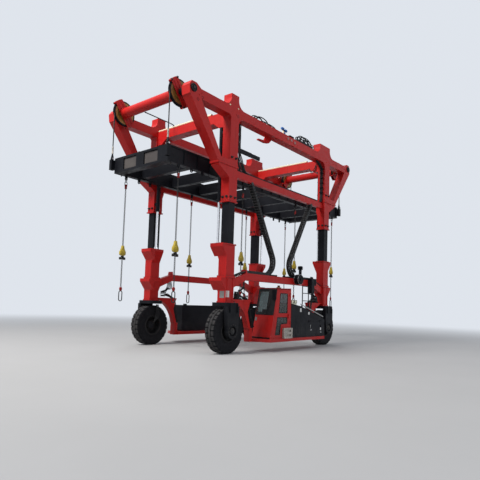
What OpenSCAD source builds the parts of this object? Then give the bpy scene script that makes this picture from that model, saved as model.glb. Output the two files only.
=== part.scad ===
// Straddle carrier for long unit loads: two side chassis on steered wheels,
// telescoping legs, an upper frame with rope sheaves at its ends and a
// spreader that hangs from them on ropes.
// Origin on the ground midway between the wheels. +X along the length,
// -Y the cab side, +Z up. Millimetres.

/* [Wheels] */
// Tyre outer diameter
tyre_d = 1370; // [1200:10:1500]
// Tyre section width
tyre_w = 375; // [320:5:400]
// Seat diameter of the tyre on its rim
seat_d = 660; // [600:10:720]
// Thickness of the wheel disc
disc_t = 25; // [18:1:35]
// Diameter of the wheel hub
hub_d = 290; // [240:10:320]
// Diameter of the spindle that carries the wheel
spindle_d = 140; // [110:5:160]

/* [Forks] */
// Width of the fork's outer arm
arm_w = 420; // [360:10:460]
// Thickness of the fork's outer arm
arm_t = 140; // [110:5:160]
// Gap between tyre and outer arm
arm_gap = 17; // [12:1:30]
// Thickness of the fork's top plate
fork_plate_t = 110; // [80:5:130]
// Reach of the top plate towards the load
fork_reach = 335; // [300:5:360]
// Gap between tyre and top plate
wheel_clear = 55; // [40:5:90]
// Diameter of the ring round the hub drive
drive_ring_d = 470; // [430:5:500]
// Diameter of the recess in that ring
drive_recess_d = 300; // [260:5:340]
// Depth of that recess
drive_recess = 70; // [40:5:90]
// Kingpin diameter
kingpin_d = 160; // [130:5:180]
// Kingpin length in the foot
kingpin_l = 280; // [200:10:340]

/* [Legs and masts] */
// Half distance between the leg axes along the length
leg_x = 2970; // [2900:10:3040]
// Half distance between the leg axes across
leg_y = 1735; // [1715:5:1800]
// Leg width along the length
leg_w = 380; // [360:5:420]
// Leg depth across
leg_d = 320; // [300:5:340]
// Wall of the hollow legs
leg_wall = 14; // [10:1:20]
// Height of the leg's foot
foot_h = 785; // [740:5:820]
// Height of the lower tube
tube_h = 1010; // [960:10:1060]
// Length of mast that shows
mast_show = 1290; // [1260:10:1400]
// Height of the upper sleeve
sleeve_h = 1130; // [1080:10:1180]
// Plate thickness of the bolted flanges
flange_t = 30; // [20:2:40]
// Overhang of the bolted flanges
flange_out = 30; // [20:2:40]
// Reach of the cylinder brackets towards the load
flare = 185; // [170:5:200]
// Lift of the telescoping legs
lift_travel = 1200; // [900:10:1200]
// Lift cylinder outer diameter
barrel_d = 120; // [100:5:140]
// Lift cylinder rod diameter
rod_d = 80; // [60:5:90]

/* [Upper frame] */
// Height from the knee seam to the top beam
knee_to_beam = 1600; // [1540:10:1660]
// Height of the top beam
beam_h = 290; // [260:5:320]
// Height of the stubs over the top beam
stub_h = 400; // [360:10:440]
// Length of the left stub
stub_left = 360; // [350:5:420]
// Length of the right stub
stub_right = 800; // [700:10:900]
// Radius of the stubs' fillets
stub_r = 280; // [200:10:320]
// Radius of the window corners
window_r = 250; // [180:10:320]
// Sheave axle's distance from the middle
sheave_x = 4820; // [4700:10:4900]
// Drop of the sheave axle below the beam's top
sheave_drop = 75; // [40:5:120]
// Outer width of the brace at the knee
brace_foot = 500; // [440:10:540]
// Width of the brace seen from the side
brace_w = 280; // [240:10:320]
// Diameter of the axle's end cap
cap_d = 240; // [200:5:260]
// Depth of the cross beams
cross_h = 290; // [250:10:320]
// Width of the cross beams
cross_w = 300; // [260:10:340]
// Haunch of the cross beams at the legs
haunch = 200; // [150:10:240]

/* [Sheaves and shafts] */
// Sheave's distance inwards from the leg axis
sheave_in = 435; // [420:5:445]
// Sheave outer diameter
sheave_d = 840; // [780:10:880]
// Depth of the rope groove
groove_depth = 78; // [60:2:90]
// Sheave width over the rim
sheave_w = 72; // [60:2:84]
// Outer diameter of the end torque tube
torque_d = 320; // [280:10:340]
// Axle diameter
axle_d = 150; // [120:5:170]
// Thickness of the sheaves' cheek plates
cheek_t = 16; // [12:1:20]
// Hoist rope diameter
rope_d = 24; // [18:1:30]

/* [Spreader] */
// Offset of the rope sockets beyond the spreader's end
socket_out = 70; // [60:5:90]
// Offset of the ropes beyond the spreader's side
rope_side = 50; // [40:5:70]
// Distance of the spreader's underside below the knee seam
spreader_drop = 250; // [200:10:300]
// Height of the spreader frame
spreader_h = 490; // [440:10:540]
// Width of the spreader's side beams
spreader_beam = 170; // [140:5:200]
// Width of the spreader's cross members
member_w = 180; // [150:5:210]
// Height of the sling rings' lowest point over the ground
hook_z = 1470; // [1400:10:1600]
// Bore of the shackle lugs
lug_bore = 44; // [36:2:52]
// Bore of the sling rings
ring_bore = 90; // [80:2:100]

/* [Side chassis] */
// Drop of the tie beam below the foot's top
tie_drop = 50; // [30:5:80]
// Height of the tie beam
tie_h = 230; // [200:5:250]
// Width of the tie beam across
tie_w = 200; // [180:5:220]
// Where the tie beam bends down to the feet
tie_bend = 2090; // [1990:10:2190]
// Drop of the tie beam to the feet
tie_neck = 250; // [200:10:290]
// Height of the sill over the ground
sill_z = 310; // [290:5:330]
// Thickness of the sill
sill_t = 100; // [80:5:105]
// Half length of the sill
sill_x = 1740; // [1700:10:1780]
// Near face of cab and housing, from the leg axis
side_out = 615; // [595:5:635]
// Overhang of the sill beyond that face
sill_out = 60; // [50:5:70]
// Top of the hangers under the feet
hanger_z = 1645; // [1620:5:1670]

/* [Cab] */
// Cab depth across
cab_d = 750; // [700:10:800]
// Cab length at the floor
cab_l = 1200; // [1120:10:1230]
// Lean of the cab's front
cab_lean = 370; // [300:10:420]
// Cab height over the sill
cab_h = 1650; // [1580:10:1680]
// Thickness of the cab's walls
cab_wall = 30; // [20:2:40]
// Door thickness
door_t = 20; // [14:1:26]
// Step box length
step_l = 512; // [460:4:540]
// Step box depth
step_d = 73; // [60:1:90]
// Step box height
step_h = 345; // [300:5:360]

/* [Engine housing] */
// Housing length
house_l = 2322; // [2200:10:2350]
// Housing height at the cab
house_h = 1170; // [1100:10:1220]
// Housing height at the far end
house_end_h = 622; // [560:10:680]
// Length of the high part
house_flat = 622; // [560:10:700]
// Side door length
hatch_l = 1280; // [1100:10:1320]
// Side door height
hatch_h = 480; // [420:10:500]

/* [Hidden] */
$fn = 48;
gap = 5;                       // clearance between moving pieces
fit = 0.3;                     // running fit of what carries a moving piece
slide_gap = 6;                 // clearance of a mast in its sleeve
ledge = 20;                    // stop behind a door
hinge_r = 11;                  // door hinges
hinge_off = 13;
hinge_l = 90;
bead = 20 + fit;               // room of the rim's edge in the tyre
wheel_r = tyre_d / 2;
seat_r = seat_d / 2;
spindle_r = spindle_d / 2;
foot_z = tyre_d + wheel_clear + fork_plate_t;
fork_top = foot_z - fit;
foot_top = foot_z + foot_h;
tube_top = foot_top + tube_h;
sleeve_z = tube_top + mast_show;
knee_z = sleeve_z + sleeve_h;
beam_z = knee_z + knee_to_beam;
beam_top = beam_z + beam_h;
stub_top = beam_top + stub_h;
pocket_d = leg_d - 2 * leg_wall;
mast_w = pocket_d - 2 * slide_gap;
leg_face = leg_y - leg_d / 2;  // inner face of the legs
leg_in = leg_x - leg_w / 2;
leg_out = leg_x + leg_w / 2;
roof_t = 40;                   // closing plate of the stubs
mast_top = stub_top - roof_t - lift_travel - 100;
sheave_y = leg_y - sheave_in;
sheave_z = beam_top - sheave_drop;
axle_r = axle_d / 2;
groove_r = sheave_d / 2 - groove_depth;
rope_r = rope_d / 2;
rope_x = sheave_x + groove_r + rope_r + fit;
cyl_out = 120;                 // lift cylinder's offset along the length
cyl_in = 125;                  // its distance from the leg's inner face
cyl_y = leg_d / 2 + cyl_in;
cross_z = beam_z - 110;
barrel_top = cross_z - haunch;
barrel_z = sleeve_z + 30;
spreader_z = knee_z - spreader_drop;
spreader_top = spreader_z + spreader_h;
spreader_x = rope_x - socket_out;
spreader_y = sheave_y - rope_side;
tie_z = foot_top - tie_drop;
tie_top = tie_z + tie_h;
sill_top = sill_z + sill_t;
side_y = leg_y + side_out;
half_w = side_y + 2 + step_d;
arm_out = tyre_w / 2 + arm_gap + arm_t;
chain_t = 90;                  // energy chain height and width
chain_w = 200;
chain_r = 430;
rail_h = 170;                  // lower side rails
rail_drop = 110;
cab_x1 = -232;
cab_x0 = cab_x1 - cab_l;
cab_top = sill_top + cab_h;
house_x0 = cab_x1 + 10;
house_x1 = house_x0 + house_l;
house_wall = 25;
house_skin = 45;
hatch_x = house_x1 - 70 - hatch_l;
hatch_z = sill_top + 70;
step_x = cab_x1 - step_l;
sling_x = [-4650, -1650, 1650, 4650];
lug_x = [-4650, -4130, -3660, -1650, 1650, 3660, 4130, 4650];
lug_h = 120;

red = [0.72, 0.13, 0.11];
black = [0.07, 0.07, 0.08];
dark = [0.15, 0.15, 0.16];
steel = [0.75, 0.75, 0.77];

// ---- placing ----
// Pieces at a leg are drawn about its axis for the outer side at -X and -Y.
module at_leg(sx, sy) {
    translate([sx * leg_x, sy * leg_y, 0])
        mirror([sx > 0 ? 1 : 0, 0, 0]) mirror([0, sy > 0 ? 1 : 0, 0]) children();
}
module legs_at(sides) for (sy = sides, sx = [-1, 1]) at_leg(sx, sy) children();
module both_ends() for (m = [0, 1]) mirror([m, 0, 0]) children();
// A 2-D shape in X and Z, thick between y0 and y1
module wall_xz(y0, y1) translate([0, y1, 0]) rotate([90, 0, 0]) linear_extrude(y1 - y0) children();
// A 2-D shape in Y and Z, thick between x0 and x1
module wall_yz(x0, x1) translate([x0, 0, 0]) rotate([90, 0, 90]) linear_extrude(x1 - x0) children();
module box(x, y, z) translate([x[0], y[0], z[0]]) cube([x[1] - x[0], y[1] - y[0], z[1] - z[0]]);
// A square column about the Z axis
module column(w, d, z0, z1) translate([-w / 2, -d / 2, z0]) cube([w, d, z1 - z0]);
module rod_y(x, z, r, y) translate([x, y[1], z]) rotate([90, 0, 0]) cylinder(r = r, h = y[1] - y[0]);
// A round bar from p to q
module bar(p, q, r) {
    v = q - p;
    l = norm(v);
    translate(p) rotate([0, acos(v[2] / l), atan2(v[1], v[0])]) cylinder(r = r, h = l, $fn = 24);
}
// Fills the inner corner at (x, z) towards (sx, sz)
module fillet_2d(x, z, sx, sz, r) {
    difference() {
        translate([sx > 0 ? x : x - r, sz > 0 ? z : z - r]) square(r);
        translate([x + sx * r, z + sz * r]) circle(r);
    }
}
module plate_2d(x, z, r) {
    // a rectangle with round corners
    translate([x[0] + r, z[0]]) square([x[1] - x[0] - 2 * r, z[1] - z[0]]);
    translate([x[0], z[0] + r]) square([x[1] - x[0], z[1] - z[0] - 2 * r]);
    for (cx = [x[0] + r, x[1] - r], cz = [z[0] + r, z[1] - r]) translate([cx, cz]) circle(r);
}

// ---- lower legs ----
module bracket_2d(z, h) {
    // carries the lift cylinder on the side towards the load
    polygon([[leg_d / 2 - 1, z], [leg_d / 2 + flare, z], [leg_d / 2 + flare, z - 75], [leg_d / 2 - 1, z - h]]);
}
module lower_leg() {
    fw = leg_w + 2 * flange_out;
    fd = leg_d + 2 * (flange_out - 5);
    difference() {
        union() {
            column(leg_w, leg_d, foot_z, tube_top);
            column(leg_w + 40, leg_d + 30, foot_z, foot_z + 40);
            column(fw, fd, foot_top - flange_t, foot_top + flange_t);
            column(fw, fd, tube_top - flange_t, tube_top);
            wall_yz(-leg_w / 2, leg_w / 2) {
                bracket_2d(tube_top, 480);
                bracket_2d(foot_top - flange_t, 430);
            }
            // stiffeners of the foot
            for (x = [-leg_w / 2 + 60, leg_w / 2 - 60]) wall_yz(x - 8, x + 8)
                polygon([[-leg_d / 2 - 14, foot_z + 40], [-leg_d / 2 - 14, foot_top - flange_t],
                    [-leg_d / 2, foot_top - flange_t], [-leg_d / 2, foot_z + 40]]);
        }
        // recess under the foot's flange, on the outer end
        translate([-leg_w / 2 - 1, 0, 0]) wall_yz(0, 41)
            polygon([[leg_d / 2 - 30, foot_top - flange_t - 50], [-leg_d / 2 + 50, foot_top - flange_t - 50],
                [leg_d / 2 - 50, foot_z + 380]]);
        translate([0, 0, foot_z - 1]) cylinder(d = kingpin_d + 2 * fit, h = kingpin_l + 11);
    }
}
module mast() {
    column(mast_w, mast_w, tube_top, mast_top);
    // wear pads at its head
    column(pocket_d - 2 * fit, pocket_d - 2 * fit, mast_top - 150, mast_top);
}
module lift_rod() {
    translate([-cyl_out, cyl_y, tube_top]) {
        cylinder(d = rod_d, h = barrel_top - 90 - lift_travel - tube_top);
        cylinder(d = rod_d + 44, h = 70);
    }
}

// ---- fork, rim and tyre ----
module fork() {
    plate_z = fork_top - fork_plate_t;
    difference() {
        union() {
            translate([0, 0, plate_z]) linear_extrude(fork_plate_t)
                plate_2d([-arm_w / 2, arm_w / 2], [-arm_out, fork_reach], 40);
            wall_xz(-arm_out, arm_t - arm_out) {
                polygon([[-arm_w / 2, plate_z + 1], [arm_w / 2, plate_z + 1], [arm_w / 2, wheel_r + 330],
                    [drive_ring_d / 2, wheel_r], [-drive_ring_d / 2, wheel_r], [-arm_w / 2, wheel_r + 330]]);
                translate([0, wheel_r]) circle(d = drive_ring_d);
            }
            // gussets between arm and top plate
            for (x = [-arm_w / 2 + 30, arm_w / 2 - 50]) wall_yz(x, x + 20)
                polygon([[-arm_out, plate_z - 200], [-arm_out - 34, plate_z - 160], [-arm_out - 34, fork_top - 20], [-arm_out, fork_top - 20]]);
        }
        rod_y(0, wheel_r, drive_recess_d / 2, [-arm_out - 1, -arm_out + drive_recess]);
        // recess beside the rib
        wall_xz(-arm_out - 1, -arm_out + 60) plate_2d([-10, arm_w / 2 - 60], [wheel_r + drive_ring_d / 2 + 30, plate_z - 60], 30);
    }
    translate([0, 0, fork_top]) cylinder(d = kingpin_d, h = kingpin_l);
    rod_y(0, wheel_r, spindle_r, [arm_t - arm_out, 50 + fit]);
    rod_y(0, wheel_r, spindle_r + 40, [50 + fit, 70]);
    // cover of the drive, in the recess
    rod_y(0, wheel_r, drive_recess_d / 2 - 50, [-arm_out + drive_recess - 40, -arm_out + drive_recess]);
}
module rim() {
    well = seat_r - disc_t;
    edge = tyre_w / 2 - 4;
    translate([0, 0, wheel_r]) rotate([90, 0, 0]) rotate_extrude($fn = 64) {
        for (m = [0, 1]) mirror([0, m])
            polygon([[well, 0], [well, edge], [seat_r + 20, edge], [seat_r + 20, edge - 16], [seat_r - fit, edge - 16], [seat_r - fit, 0]]);
        // dished disc
        polygon([[hub_d / 2 - 1, 5], [well + 1, 60], [well + 1, 60 + disc_t], [hub_d / 2 - 1, 5 + disc_t]]);
        translate([spindle_r + fit, -50]) square([hub_d / 2 - spindle_r - fit, 180]);
    }
}
module tyre() {
    w = tyre_w / 2;
    translate([0, 0, wheel_r]) rotate([90, 0, 0]) rotate_extrude($fn = 64)
        for (m = [0, 1]) mirror([0, m])
            polygon([[seat_r, 0], [seat_r, bead - w], [seat_r + bead, bead - w], [seat_r + 60, 12 - w], [wheel_r - 150, -w],
                [wheel_r - 60, 6 - w], [wheel_r - 14, 34 - w], [wheel_r, 90 - w], [wheel_r, 0]]);
}

// ---- upper frame ----
module half_outline(stub_w) {
    // the outward coordinate runs away from the middle of the frame
    nose = sheave_x;
    rise = 115;
    translate([-1, beam_z]) square([nose - 299, beam_h]);
    translate([leg_in, knee_z]) square([leg_w, knee_to_beam + beam_h]);
    translate([leg_out - stub_w, beam_top - 1]) square([stub_w, stub_h + 1]);
    fillet_2d(leg_out - stub_w, beam_top, -1, 1, stub_r);
    fillet_2d(leg_out, beam_top, 1, 1, stub_r);
    fillet_2d(leg_in, beam_z, -1, -1, window_r);
    fillet_2d(leg_out, beam_z, 1, -1, window_r / 3);
    // nose
    polygon([[nose - 310, beam_z], [nose - 310, beam_top], [nose - 120, beam_top + rise], [nose + 80, beam_top + rise],
        [nose + 170, beam_top - 20], [nose + 140, beam_z + 20]]);
    // brace and its web at the knee
    polygon([[nose + 142, beam_z + 40], [nose - 310, beam_z + 40], [leg_out + brace_foot - brace_w * 0.79, knee_z],
        [leg_out + brace_foot, knee_z]]);
    polygon([[leg_out - 1, knee_z], [leg_out - 1, knee_z + 170], [leg_out + brace_foot - 90, knee_z + 170],
        [leg_out + brace_foot - 200, knee_z]]);
}
module knee_plate(z) {
    both_ends() box([-leg_out - brace_foot - 30, -leg_in + 20], [-leg_d / 2 - 25, leg_d / 2 + 25], [z, z + flange_t - 2]);
}
module side_frame() {
    difference() {
        union() {
            wall_xz(-leg_d / 2, leg_d / 2) {
                mirror([1, 0]) half_outline(stub_left);
                half_outline(stub_right);
            }
            knee_plate(knee_z);
        }
        both_ends() {
            translate([leg_x, 0, 0]) column(pocket_d, pocket_d, knee_z - 1, stub_top - roof_t);
            rod_y(sheave_x, sheave_z, axle_r, [-leg_d / 2 - 1, leg_d / 2 + 1]);
            // lightening holes beside the nose and under the stub
            for (p = [[sheave_x - 220, beam_z + 90], [sheave_x - 330, beam_z + 160], [leg_x - 60, beam_z + 60]])
                rod_y(p[0], p[1], 26, [-leg_d / 2 - 1, -leg_d / 2 + 12]);
        }
    }
}
module sleeve() {
    difference() {
        union() {
            column(leg_w, leg_d, sleeve_z, knee_z);
            column(leg_w + 2 * flange_out, leg_d + 2 * (flange_out - 5), sleeve_z, sleeve_z + flange_t);
            box([-leg_w / 2 - brace_foot - 30, leg_w / 2 + 20], [-leg_d / 2 - 25, leg_d / 2 + 25], [knee_z - flange_t + 2, knee_z]);
            // gusset under the brace
            wall_xz(-leg_d / 2, leg_d / 2) difference() {
                polygon([[-leg_w / 2 + 1, knee_z - 20], [-leg_w / 2 - brace_foot, knee_z - 20],
                    [-leg_w / 2 - brace_foot + 10, knee_z - 80], [-leg_w / 2 + 1, knee_z - 380]]);
            }
            // pad of the side rail
            wall_yz(-leg_w / 2 + 210, leg_w / 2)
                polygon([[leg_d / 2 - 1, knee_z - 60], [leg_d / 2 + 60, knee_z - 60], [leg_d / 2 + 60, knee_z - 420], [leg_d / 2 - 1, knee_z - 560]]);
        }
        column(pocket_d, pocket_d, sleeve_z + 120, knee_z + 1);
        // wear pads at its mouth
        column(mast_w + 2 * fit, mast_w + 2 * fit, sleeve_z - 1, sleeve_z + 121);
    }
}
module cross_beam() {
    w = cross_w / 2;
    z1 = cross_z + cross_h;
    e = leg_face;
    wall_yz(-w, w) polygon([[-e, z1], [e, z1], [e, cross_z - haunch], [e - 210, cross_z - haunch],
        [e - 480, cross_z], [480 - e, cross_z], [210 - e, cross_z - haunch], [-e, cross_z - haunch]]);
    box([-w - 30, w + 30], [470 - e, e - 470], [cross_z - 25, cross_z]);
    // service pipe and the fins on top
    rod_y(40 - w, z1 + 36, 36, [-1000, e - 20]);
    for (y = [-800, 0, 700]) wall_xz(y, y + 20) polygon([[20, z1], [140, z1], [80, z1 + 100]]);
}
module cheek() {
    // lozenge plate beside a sheave
    r = sheave_d / 2;
    wall_xz(-cheek_t / 2, cheek_t / 2) difference() {
        polygon([[-0.26 * r - 60, 1.16 * r], [-0.26 * r + 60, 1.16 * r], [0.42 * r, 0.1 * r], [0.42 * r, -0.3 * r],
            [0.26 * r + 60, -1.16 * r], [0.26 * r - 60, -1.16 * r], [-0.42 * r, -0.1 * r], [-0.42 * r, 0.3 * r]]);
        circle(r = axle_r);
    }
}
module end_shaft() {
    r = sheave_d / 2;
    face = leg_y + leg_d / 2;
    cheek_y = sheave_w / 2 + 30 + fit + cheek_t / 2;
    tube = sheave_y - cheek_y - 40;
    rod_y(0, 0, torque_d / 2, [-tube, tube]);
    for (s = [-1, 1]) mirror([0, s > 0 ? 1 : 0, 0]) {
        rod_y(0, 0, axle_r, [-face, -tube]);
        rod_y(0, 0, torque_d / 2 + 25, [-tube - 20, -tube]);
        rod_y(0, 0, cap_d / 2, [-face - 30, -face]);
        rod_y(0, 0, axle_r + 25, [-leg_face, -sheave_y - cheek_y - 8]);
        for (k = [-1, 1]) {
            translate([0, k * cheek_y - sheave_y, 0]) cheek();
            // keeper bars at the plates' tips
            rod_y(-k * 0.26 * r, k * 1.09 * r, 22, [-sheave_y - cheek_y, -sheave_y + cheek_y]);
        }
    }
}
module sheave() {
    r = sheave_d / 2;
    hub = sheave_w / 2 + 30;
    rotate([90, 0, 0]) rotate_extrude($fn = 64) {
        // rim with the rope groove
        polygon([[r - 130, -sheave_w / 2], [r, -sheave_w / 2], [r, -rope_r - 16], [groove_r, -rope_r - 4], [groove_r, rope_r + 4],
            [r, rope_r + 16], [r, sheave_w / 2], [r - 130, sheave_w / 2]]);
        translate([axle_r + fit, -14]) square([r - 129 - axle_r - fit, 28]);
        translate([axle_r + fit, -hub]) square([60, 2 * hub]);
    }
}
module lift_barrel() {
    translate([-cyl_out, cyl_y, 0]) difference() {
        union() {
            translate([0, 0, barrel_z]) cylinder(d = barrel_d, h = barrel_top - barrel_z);
            translate([0, 0, barrel_z]) cylinder(d = barrel_d + 28, h = 90);
            for (z = [barrel_z + 230, barrel_top - 200]) box([-35, 35], [-cyl_in, 0], [z, z + 80]);
        }
        translate([0, 0, barrel_z + 110]) cylinder(d = rod_d + 2 * gap, h = barrel_top - 40 - barrel_z - 110);
        // gland
        translate([0, 0, barrel_z - 1]) cylinder(d = rod_d + 2 * fit, h = 112);
    }
}
module side_rail() {
    w = 140;
    box([-leg_in, leg_in], [-w / 2, w / 2], [knee_z - rail_drop - rail_h, knee_z - rail_drop]);
    // tray for the hoses
    difference() {
        box([-leg_in, leg_in], [10 - w / 2, w / 2 - 10], [knee_z - rail_drop, knee_z - rail_drop + 60]);
        box([-leg_in - 1, leg_in + 1], [22 - w / 2, w / 2 - 22], [knee_z - rail_drop + 12, knee_z - rail_drop + 61]);
    }
}
module hose_arc(x, z, r) {
    translate([x, -leg_y, z]) rotate([90, 0, 0]) rotate_extrude(angle = 180) translate([r, 0]) circle(18, $fn = 16);
}
module valves() {
    y = [-leg_y - 60, 60 - leg_y];
    wide = [-leg_y - 90, 90 - leg_y];
    box([-140, 80], y, [beam_top, beam_top + 70]);
    translate([-30, -leg_y, beam_top + 70]) cylinder(r = 45, h = 150);
    box([250, 520], wide, [beam_top, beam_top + 110]);
    box([820, 1900], wide, [beam_top, beam_top + 130]);
    for (h = [[1000, 150], [1250, 210], [1560, 170]]) hose_arc(h[0], beam_top + 130, h[1]);
    for (h = [[-1500, 190], [-950, 120]]) hose_arc(h[0], beam_top, h[1]);
    // hose arm on the near left leg
    box([-leg_in, -1290], [-leg_face - 60, -leg_face], [knee_z + 680, knee_z + 770]);
    // shelf under the top beam
    wall_xz(-leg_face - 40, 40 - leg_face) polygon([[-1370, beam_z - 210], [-1370, beam_z - 170], [-1000, beam_z - 130],
        [-950, beam_z], [-600, beam_z], [-760, beam_z - 160], [-1000, beam_z - 210]]);
}
module rope() {
    translate([0, 0, spreader_top + 150]) cylinder(d = rope_d, h = sheave_z - spreader_top - 150, $fn = 16);
}
module energy_chain() {
    // from the side rail down to a loop and along the tie beam
    a = 31;
    c = [-950, tie_top + chain_t / 2 + chain_r];
    chain_end = 45 - tie_bend;
    up = [-1900, knee_z - rail_drop - rail_h];
    in = chain_r - chain_t / 2;
    out = chain_r + chain_t / 2;
    d = [cos(a), sin(a)];
    wall_xz(-leg_y - chain_w / 2, chain_w / 2 - leg_y) {
        difference() {
            translate(c) circle(out);
            translate(c) circle(in);
            polygon([c, c + 2 * out * d, c + [0, 2 * out], c + [-2 * out, 2 * out], c + [-2 * out, -2 * out], c + [0, -2 * out]]);
        }
        polygon([c + out * d, c + in * d, up + [-chain_t * 0.58, 0], up + [chain_t * 0.58, 0]]);
        translate([chain_end, tie_top]) square([c[0] + 1 - chain_end, chain_t]);
    }
}

// ---- spreader ----
module spreader() {
    x = spreader_x;
    y = spreader_y;
    b = spreader_beam;
    n = 18;                    // ribs along each side
    pitch = (2 * x - 200) / n;
    difference() {
        box([-x, x], [-y, y], [spreader_z, spreader_top]);
        box([260 - x, x - 260], [b - y, y - b], [spreader_z - 1, spreader_top + 1]);
        // panels between the ribs, outside and at both ends
        for (s = [-1, 1], i = [0:n - 1])
            box([100 - x + i * pitch + 10, 100 - x + (i + 1) * pitch - 10], [s * y - 30, s * y + 30], [spreader_z + 45, spreader_top - 45]);
        for (s = [-1, 1], k = [-1, 1])
            box([s * x - 45, s * x + 45], [k * 490 - 310, k * 490 + 310], [spreader_z + 70, spreader_top - 70]);
    }
    for (m = [-3:3]) box([m * 1350 - member_w / 2, m * 1350 + member_w / 2], [b - y - 1, y - b + 1], [spreader_z + 40, spreader_top - 100]);
}
module lugs() {
    for (s = [-1, 1], x = lug_x) translate([x, s * (spreader_y - 20), 0]) difference() {
        wall_xz(-15, 15) {
            translate([-45, spreader_z - lug_h + 45]) square([90, lug_h - 45]);
            translate([0, spreader_z - lug_h + 45]) circle(45);
        }
        rod_y(0, spreader_z - lug_h + 45, lug_bore / 2, [-20, 20]);
    }
    // rope sockets on the corners
    for (sx = [-1, 1], sy = [-1, 1]) translate([sx * rope_x, sy * sheave_y, 0]) {
        translate([0, 0, spreader_top - 350]) cylinder(r = 45, h = 380);
        translate([0, 0, spreader_top + 30]) cylinder(r1 = 45, r2 = rope_r + 6, h = 120);
        mirror([sx > 0 ? 1 : 0, 0, 0]) mirror([0, sy > 0 ? 1 : 0, 0])
            box([-60, socket_out], [-60, rope_side], [spreader_top - 380, spreader_top - 60]);
    }
}
module slings() {
    ring_z = hook_z + ring_bore / 2 + 35;
    top = spreader_z - lug_h;
    for (s = [-1, 1], x = sling_x) translate([x, s * (spreader_y - 20), 0]) {
        // crossed bars stand for the chain
        column(24, 8, ring_z + 170, top);
        column(8, 24, ring_z + 170, top);
        wall_xz(-18, 18) plate_2d([-40, 40], [top - 300, top - 170], 18);
        wall_xz(-18, 18) plate_2d([-35, 35], [ring_z + 75, ring_z + 175], 18);
        wall_xz(-14, 14) difference() {
            translate([0, ring_z]) circle(ring_bore / 2 + 35);
            translate([0, ring_z]) circle(d = ring_bore);
        }
    }
}

// ---- side chassis ----
module chassis_frame() {
    foot = -leg_in;
    hanger_x = 250 - tie_bend;
    hanger_up = 335;
    y = [-leg_y - tie_w / 2, tie_w / 2 - leg_y];
    wall_xz(y[0], y[1]) {
        translate([-tie_bend, tie_z]) square([2 * tie_bend, tie_h]);
        for (m = [0, 1]) mirror([m, 0]) {
            polygon([[1 - tie_bend, tie_z], [1 - tie_bend, tie_top], [-tie_bend, tie_top], [foot, foot_top - flange_t - 20], [foot, tie_z - tie_neck - 40], [-tie_bend, tie_z]]);
            // lug at the bend
            polygon([[-tie_bend - 40, tie_top - 10], [40 - tie_bend, tie_top - 10], [15 - tie_bend, tie_top + 110], [-tie_bend - 15, tie_top + 110]]);
        }
    }
    both_ends() {
        box([foot, hanger_x + 10], y, [hanger_z - 45, hanger_z]);
        // curved round the wheel's sweep
        wall_xz(y[0] + 10, y[1] - 10) difference() {
            polygon([[foot + 140, hanger_z - 45], [hanger_x, hanger_z - 45], [hanger_x - 120, hanger_z - 395], [hanger_x - 40, hanger_z - 645],
                [50 - sill_x - 100, sill_top + hanger_up], [foot + 140, sill_top + hanger_up]]);
            translate([-leg_x, wheel_r - 125]) circle(wheel_r + 375, $fn = 96);
        }
        box([-sill_x - 140, -sill_x], [y[0] - 20, y[1]], [sill_z, sill_top + hanger_up]);
    }
    translate([0, 0, sill_z]) linear_extrude(sill_t)
        polygon([[-sill_x, y[0] + 10], [-sill_x + 250, -side_y - sill_out], [sill_x + 270, -side_y - sill_out], [sill_x + 270, y[0] - 40],
            [sill_x, y[0] - 40], [sill_x, y[1] + 35], [-sill_x, y[1] + 35]]);
}

// ---- cab ----
roof_rise = 30;
rear_draft = 15;
function cab_front(z) = cab_x0 + (z - sill_top) * cab_lean / cab_h;
function cab_roof(x) = cab_top + roof_rise * (x - cab_front(cab_top)) / (cab_l - cab_lean - rear_draft);
// the cab's outline, drawn in by d
module cab_outline(d) {
    polygon([[cab_front(sill_top + d) + d, sill_top + d], [cab_front(cab_top - d) + d, cab_top - d],
        [cab_x1 - d - rear_draft, cab_top + roof_rise - d], [cab_x1 - d, sill_top + d]]);
}
door_z0 = sill_top + 40;
door_z1 = cab_top - 55;
door_x1 = cab_x1 - 60;
module door_outline(d) {
    polygon([[cab_front(door_z0 + d) + 60 + d, door_z0 + d], [cab_front(door_z1 - d) + 60 + d, door_z1 - d], [door_x1 - d, door_z1 + 20 - d],
        [door_x1 - d, sill_top + step_h + 35 + d], [step_x - 60 - d, sill_top + step_h + 35 + d], [step_x - 60 - d, door_z0 + d]]);
}
module door_panes() {
    pane = [door_z0 + 80, door_z0 + 440, cab_top - 950, cab_top - 810, cab_top - 155];
    right = door_x1 - 165;
    polygon([[cab_front(pane[3]) + 270, pane[3]], [cab_front(pane[4]) + 190, pane[4]], [right, pane[4]], [right, pane[3]]]);
    polygon([[cab_front(pane[0]) + 250, pane[0]], [cab_front(pane[2]) + 230, pane[2]], [right, pane[2]], [right, pane[1] + 10],
        [step_x - 90, pane[1] - 10], [step_x - 140, pane[0]]]);
}
module windscreen_2d() translate([cab_x0 - 20, sill_top + 840]) square([cab_lean + 240, cab_h - 940]);
module side_window_2d() polygon([[cab_x0 + 280, cab_top - 860], [cab_x0 + 430, cab_top - 110], [cab_x1 - 168, cab_top - 110], [cab_x1 - 168, cab_top - 860]]);
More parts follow.
